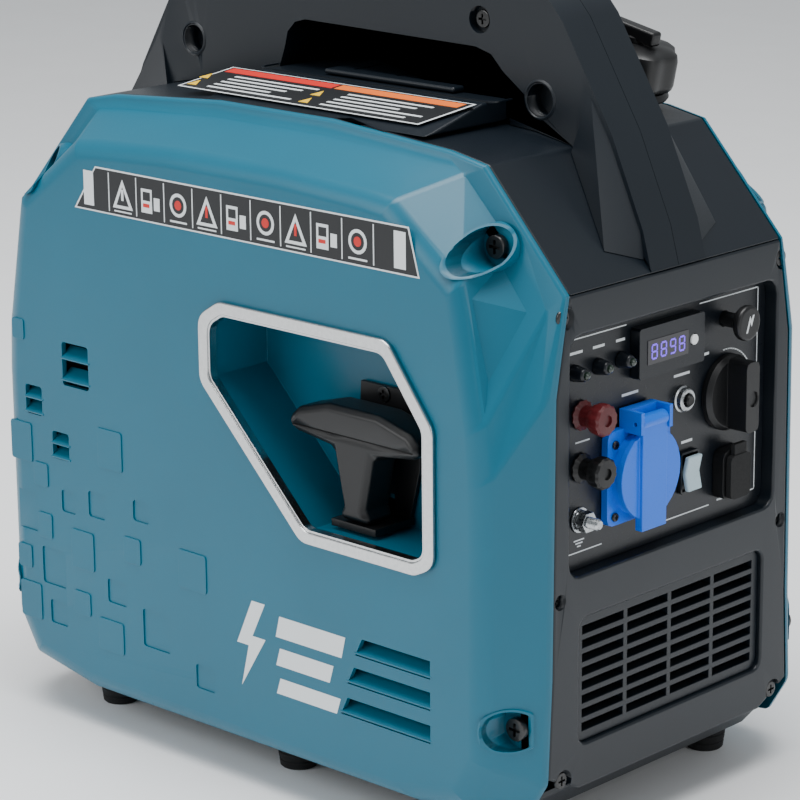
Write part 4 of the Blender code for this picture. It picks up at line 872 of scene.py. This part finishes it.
# Zinc plate on steel: cool grey, soft reflection, tiny crystals
zinc_steel = bpy.data.materials.new("zinc_plated_steel")
zinc_steel.use_nodes = True
tree = zinc_steel.node_tree
shader = tree.nodes["Principled BSDF"]
shader.inputs["Metallic"].default_value = 1.0
place = add(tree, "ShaderNodeTexCoord").outputs["Object"]
crystals = add(tree, "ShaderNodeTexVoronoi", {"Scale": 700.0}, {"Vector": place})
tone = add(tree, "ShaderNodeValToRGB", {}, {"Fac": crystals.outputs["Distance"]})
tone.color_ramp.elements[0].color = linear("9EA2A5")
tone.color_ramp.elements[1].color = linear("C6C9CB")
tree.links.new(tone.outputs["Color"], shader.inputs["Base Color"])
rough = add(tree, "ShaderNodeMapRange", {"To Min": 0.2, "To Max": 0.38},
            {"Value": crystals.outputs["Distance"]})
tree.links.new(rough.outputs["Result"], shader.inputs["Roughness"])

low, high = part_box("earth_stud")
centre = (-0.0678, 0.1773)
HALF_PITCH = 0.0004
thread = [(0.0030 if k % 2 else 0.0027, PANEL + HALF_PITCH + HALF_PITCH * k)
          for k in range(int((high.x - PANEL - 0.001) / HALF_PITCH))]
stud = turned("earth_stud_rod", "x", centre, [(0, low.x), (0.0027, low.x)] + thread
              + [(0.0022, high.x), (0, high.x)], 24)
washers = [turned("washer", "x", centre,
                  [(0.0031, PANEL + a), (r, PANEL + a), (r + 0.0002, PANEL + a + 0.0003),
                   (r, PANEL + a + 0.0007), (0.0031, PANEL + a + 0.0007)], 40)
           for a, r in ((0.0003, 0.0065), (0.0011, 0.0052))]
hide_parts("earth_stud")
dress(join("earth_stud_steel", [stud] + washers), zinc_steel)
low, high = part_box("earth_nut")
nut = disc("earth_nut_steel", "x", centre, 0.0058, low.x, high.x, 0.0005, 6)
cut(nut, disc("bore", "x", centre, 0.0031, low.x - 0.01, high.x + 0.01, sides=32))
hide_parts("earth_nut")
dress(nut, zinc_steel, "earth_nut")
low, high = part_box("reset_breaker")
centre = (0.0135, 0.2237)
collar = turned("reset_collar", "x", centre,
                [(0.0034, low.x), (0.0068, low.x), (0.0070, PANEL + 0.0003),
                 (0.0070, PANEL + 0.0012), (0.0062, PANEL + 0.0018), (0.0060, high.x - 0.0006),
                 (0.0054, high.x), (0.0040, high.x), (0.0034, high.x - 0.0008)], 40)
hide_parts("reset_breaker")
dress(collar, zinc_steel)
low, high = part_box("reset_button")
button = turned("reset_button_cap", "x", centre,
                [(0, low.x), (0.0029, low.x), (0.0030, high.x - 0.0008), (0.0024, high.x),
                 (0, high.x - 0.0003)], 32)
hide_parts("reset_button")
dress(button, black_nylon, "reset_button")


# ---------------------------------------------------------------- mains socket, outlet, rocker
# A blue glass-filled nylon socket with a sprung round lid under a hinge hood, screwed to the
# panel at two corners. Beside it a rocker, and below the switch a low-voltage outlet.
# Even bright blue with a low satin gloss
blue_nylon = moulded("blue_socket_nylon", "0066DD", 0.32, mottle=0.03, depth=0.000006)
dress(moulding("mains_socket", 0.0006, angle=40), blue_nylon)
dress(moulding("socket_lid", 0.0008, angle=40), blue_nylon, "socket_lid")
for z in (0.2123, 0.1742):
    screw("socket_screw", "x", (-0.0452, z), PANEL + 0.0042, PANEL + 0.0058, 0.0024)
# Pale grey rocker ABS, smooth
rocker_grey = moulded("pale_rocker_abs", "A9C0C8", 0.3, depth=0.000003)
rocker = moulding("eco_rocker", 0.0010)
dress(rocker, rocker_grey, "eco_rocker")
dress(moulding("eco_switch_body", 0.0006), panel_black)
dress(moulding("dc_outlet", 0.0008), black_nylon)
flap = moulding("dc_outlet_flap", 0.0010)
dress(flap, rubber, "outlet_flap")


# ---------------------------------------------------------------- engine switch and choke
# The engine switch is a skirted nylon knob with a bar across it; the choke is a small pull
# disc with a printed sign.
switch = moulding("engine_switch", 0.0014, segments=3)
low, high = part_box("engine_switch")
cut(switch, disc("dimple", "x", (0.0512, 0.2188), 0.0042, high.x - 0.0012, high.x + 0.004,
                 sides=32))
dress(switch, black_nylon, "engine_switch")
low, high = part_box("choke_knob")
choke = moulding("choke_knob", 0.0010)
dress(choke, black_nylon, "choke_knob")
sign = [(0.0455, 0.2550), (0.0468, 0.2550), (0.0488, 0.2606), (0.0500, 0.2580), (0.0522, 0.2640),
        (0.0509, 0.2640), (0.0499, 0.2612), (0.0487, 0.2638)]
dress(plate("choke_sign", sign, "x", high.x, high.x + INK), label_white, "choke_knob")


# ---------------------------------------------------------------- fuel cap
# A black nylon screw cap with eight scalloped flats on a collar, and a winged vent knob in
# its top; both lean forward with the filler neck.
CAP_CENTRE, CAP_LEAN = Vector((0.118, 0.058, 0.372)), math.radians(12)
lean = Matrix.Translation(CAP_CENTRE) @ Matrix.Rotation(CAP_LEAN, 4, "Y")
cap = fluted("fuel_cap_nylon", "z", (0, 0),
             [(0.0155, 0.0030), (0.0235, 0.0030), (0.0249, 0.0046), (0.0255, 0.0070),
              (0.0255, 0.0200), (0.0246, 0.0232), (0.0215, 0.0250), (0.0120, 0.0262),
              (0.0062, 0.0262), (0.0062, 0.0216), (0.0032, 0.0216), (0.0032, 0.0106),
              (0.0155, 0.0106)], 8, 0.09, 96)
cap.data.transform(lean)
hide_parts("fuel_cap")
dress(cap, black_nylon, "fuel_cap", angle=40)
stem = turned("stem", "z", (0, 0),
              [(0, 0.0110), (0.0026, 0.0110), (0.0026, 0.0220), (0.0054, 0.0222),
               (0.0056, 0.0290), (0, 0.0305)], 32)
wing = slab("wing", (-0.0150, -0.0040, 0.0270), (0.0150, 0.0040, 0.0350), 0.0018, 3)
modify(stem, "BOOLEAN", object=wing, operation="UNION", solver="MANIFOLD")
remove(wing)
stem.name = "fuel_vent_wing"
stem.data.transform(lean)
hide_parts("fuel_vent_knob")
dress(stem, black_nylon, "fuel_vent")
collar = turned("filler_collar", "z", (0, 0),
                [(0.0156, -0.0020), (0.0230, -0.0020), (0.0236, -0.0008), (0.0220, 0.0022),
                 (0.0156, 0.0022)], 48)
collar.data.transform(lean)
dress(collar, black_nylon)


# ---------------------------------------------------------------- exhaust, engine and alternator
# Inside the casing: cast aluminium engine, steel shaft and flywheel, copper stator, nylon
# fan and boxes. The tail pipe shows through the rear frame.
# Sand-cast aluminium: matt grey, pitted
cast_aluminium = moulded("cast_aluminium_sand", "8E9193", 0.5, grain=0.0012, depth=0.00008)
cast_aluminium.node_tree.nodes["Principled BSDF"].inputs["Metallic"].default_value = 1.0
# Enamelled copper wire: orange-brown, wound in close rows
copper = moulded("enamelled_copper_wire", "9A5328", 0.35, grain=0.0008, depth=0.0001)
copper.node_tree.nodes["Principled BSDF"].inputs["Metallic"].default_value = 1.0
# Glazed alumina: white and glossy
ceramic = moulded("glazed_alumina", "E8E5DC", 0.15, depth=0.000002)
BODY_OF = {node: body for body, nodes in frame["record"]["behaviour"]["bodies"].items()
           for node in nodes}
SLOT_OF = {row["node"]: row["material_slot"] for row in frame["record"]["subparts"]}
INSIDE = {"zinc_steel": zinc_steel, "cast_aluminium": cast_aluminium, "copper_winding": copper,
          "ceramic": ceramic, "soft_black": black_nylon, "black_plastic": black_plastic}
INSIDE_RADII = {"crankcase": 0.004, "cylinder_block": 0.0008, "silencer": 0.003,
                "tail_pipe": 0.0010, "starter_housing": 0.002, "starter_pulley": 0.001,
                "fuel_tank": 0.005, "inverter_module": 0.0008, "carburettor": 0.003,
                "air_filter_box": 0.001, "flywheel": 0.001, "cooling_fan": 0.0006,
                "stator": 0.001, "crankshaft": 0.0006, "spark_plug": 0.0004}
for node, radius in INSIDE_RADII.items():
    dress(moulding(node, radius, segments=2), INSIDE[SLOT_OF[node]], BODY_OF[node])


dress(join("cross_head_screws", screws), black_screw_steel)
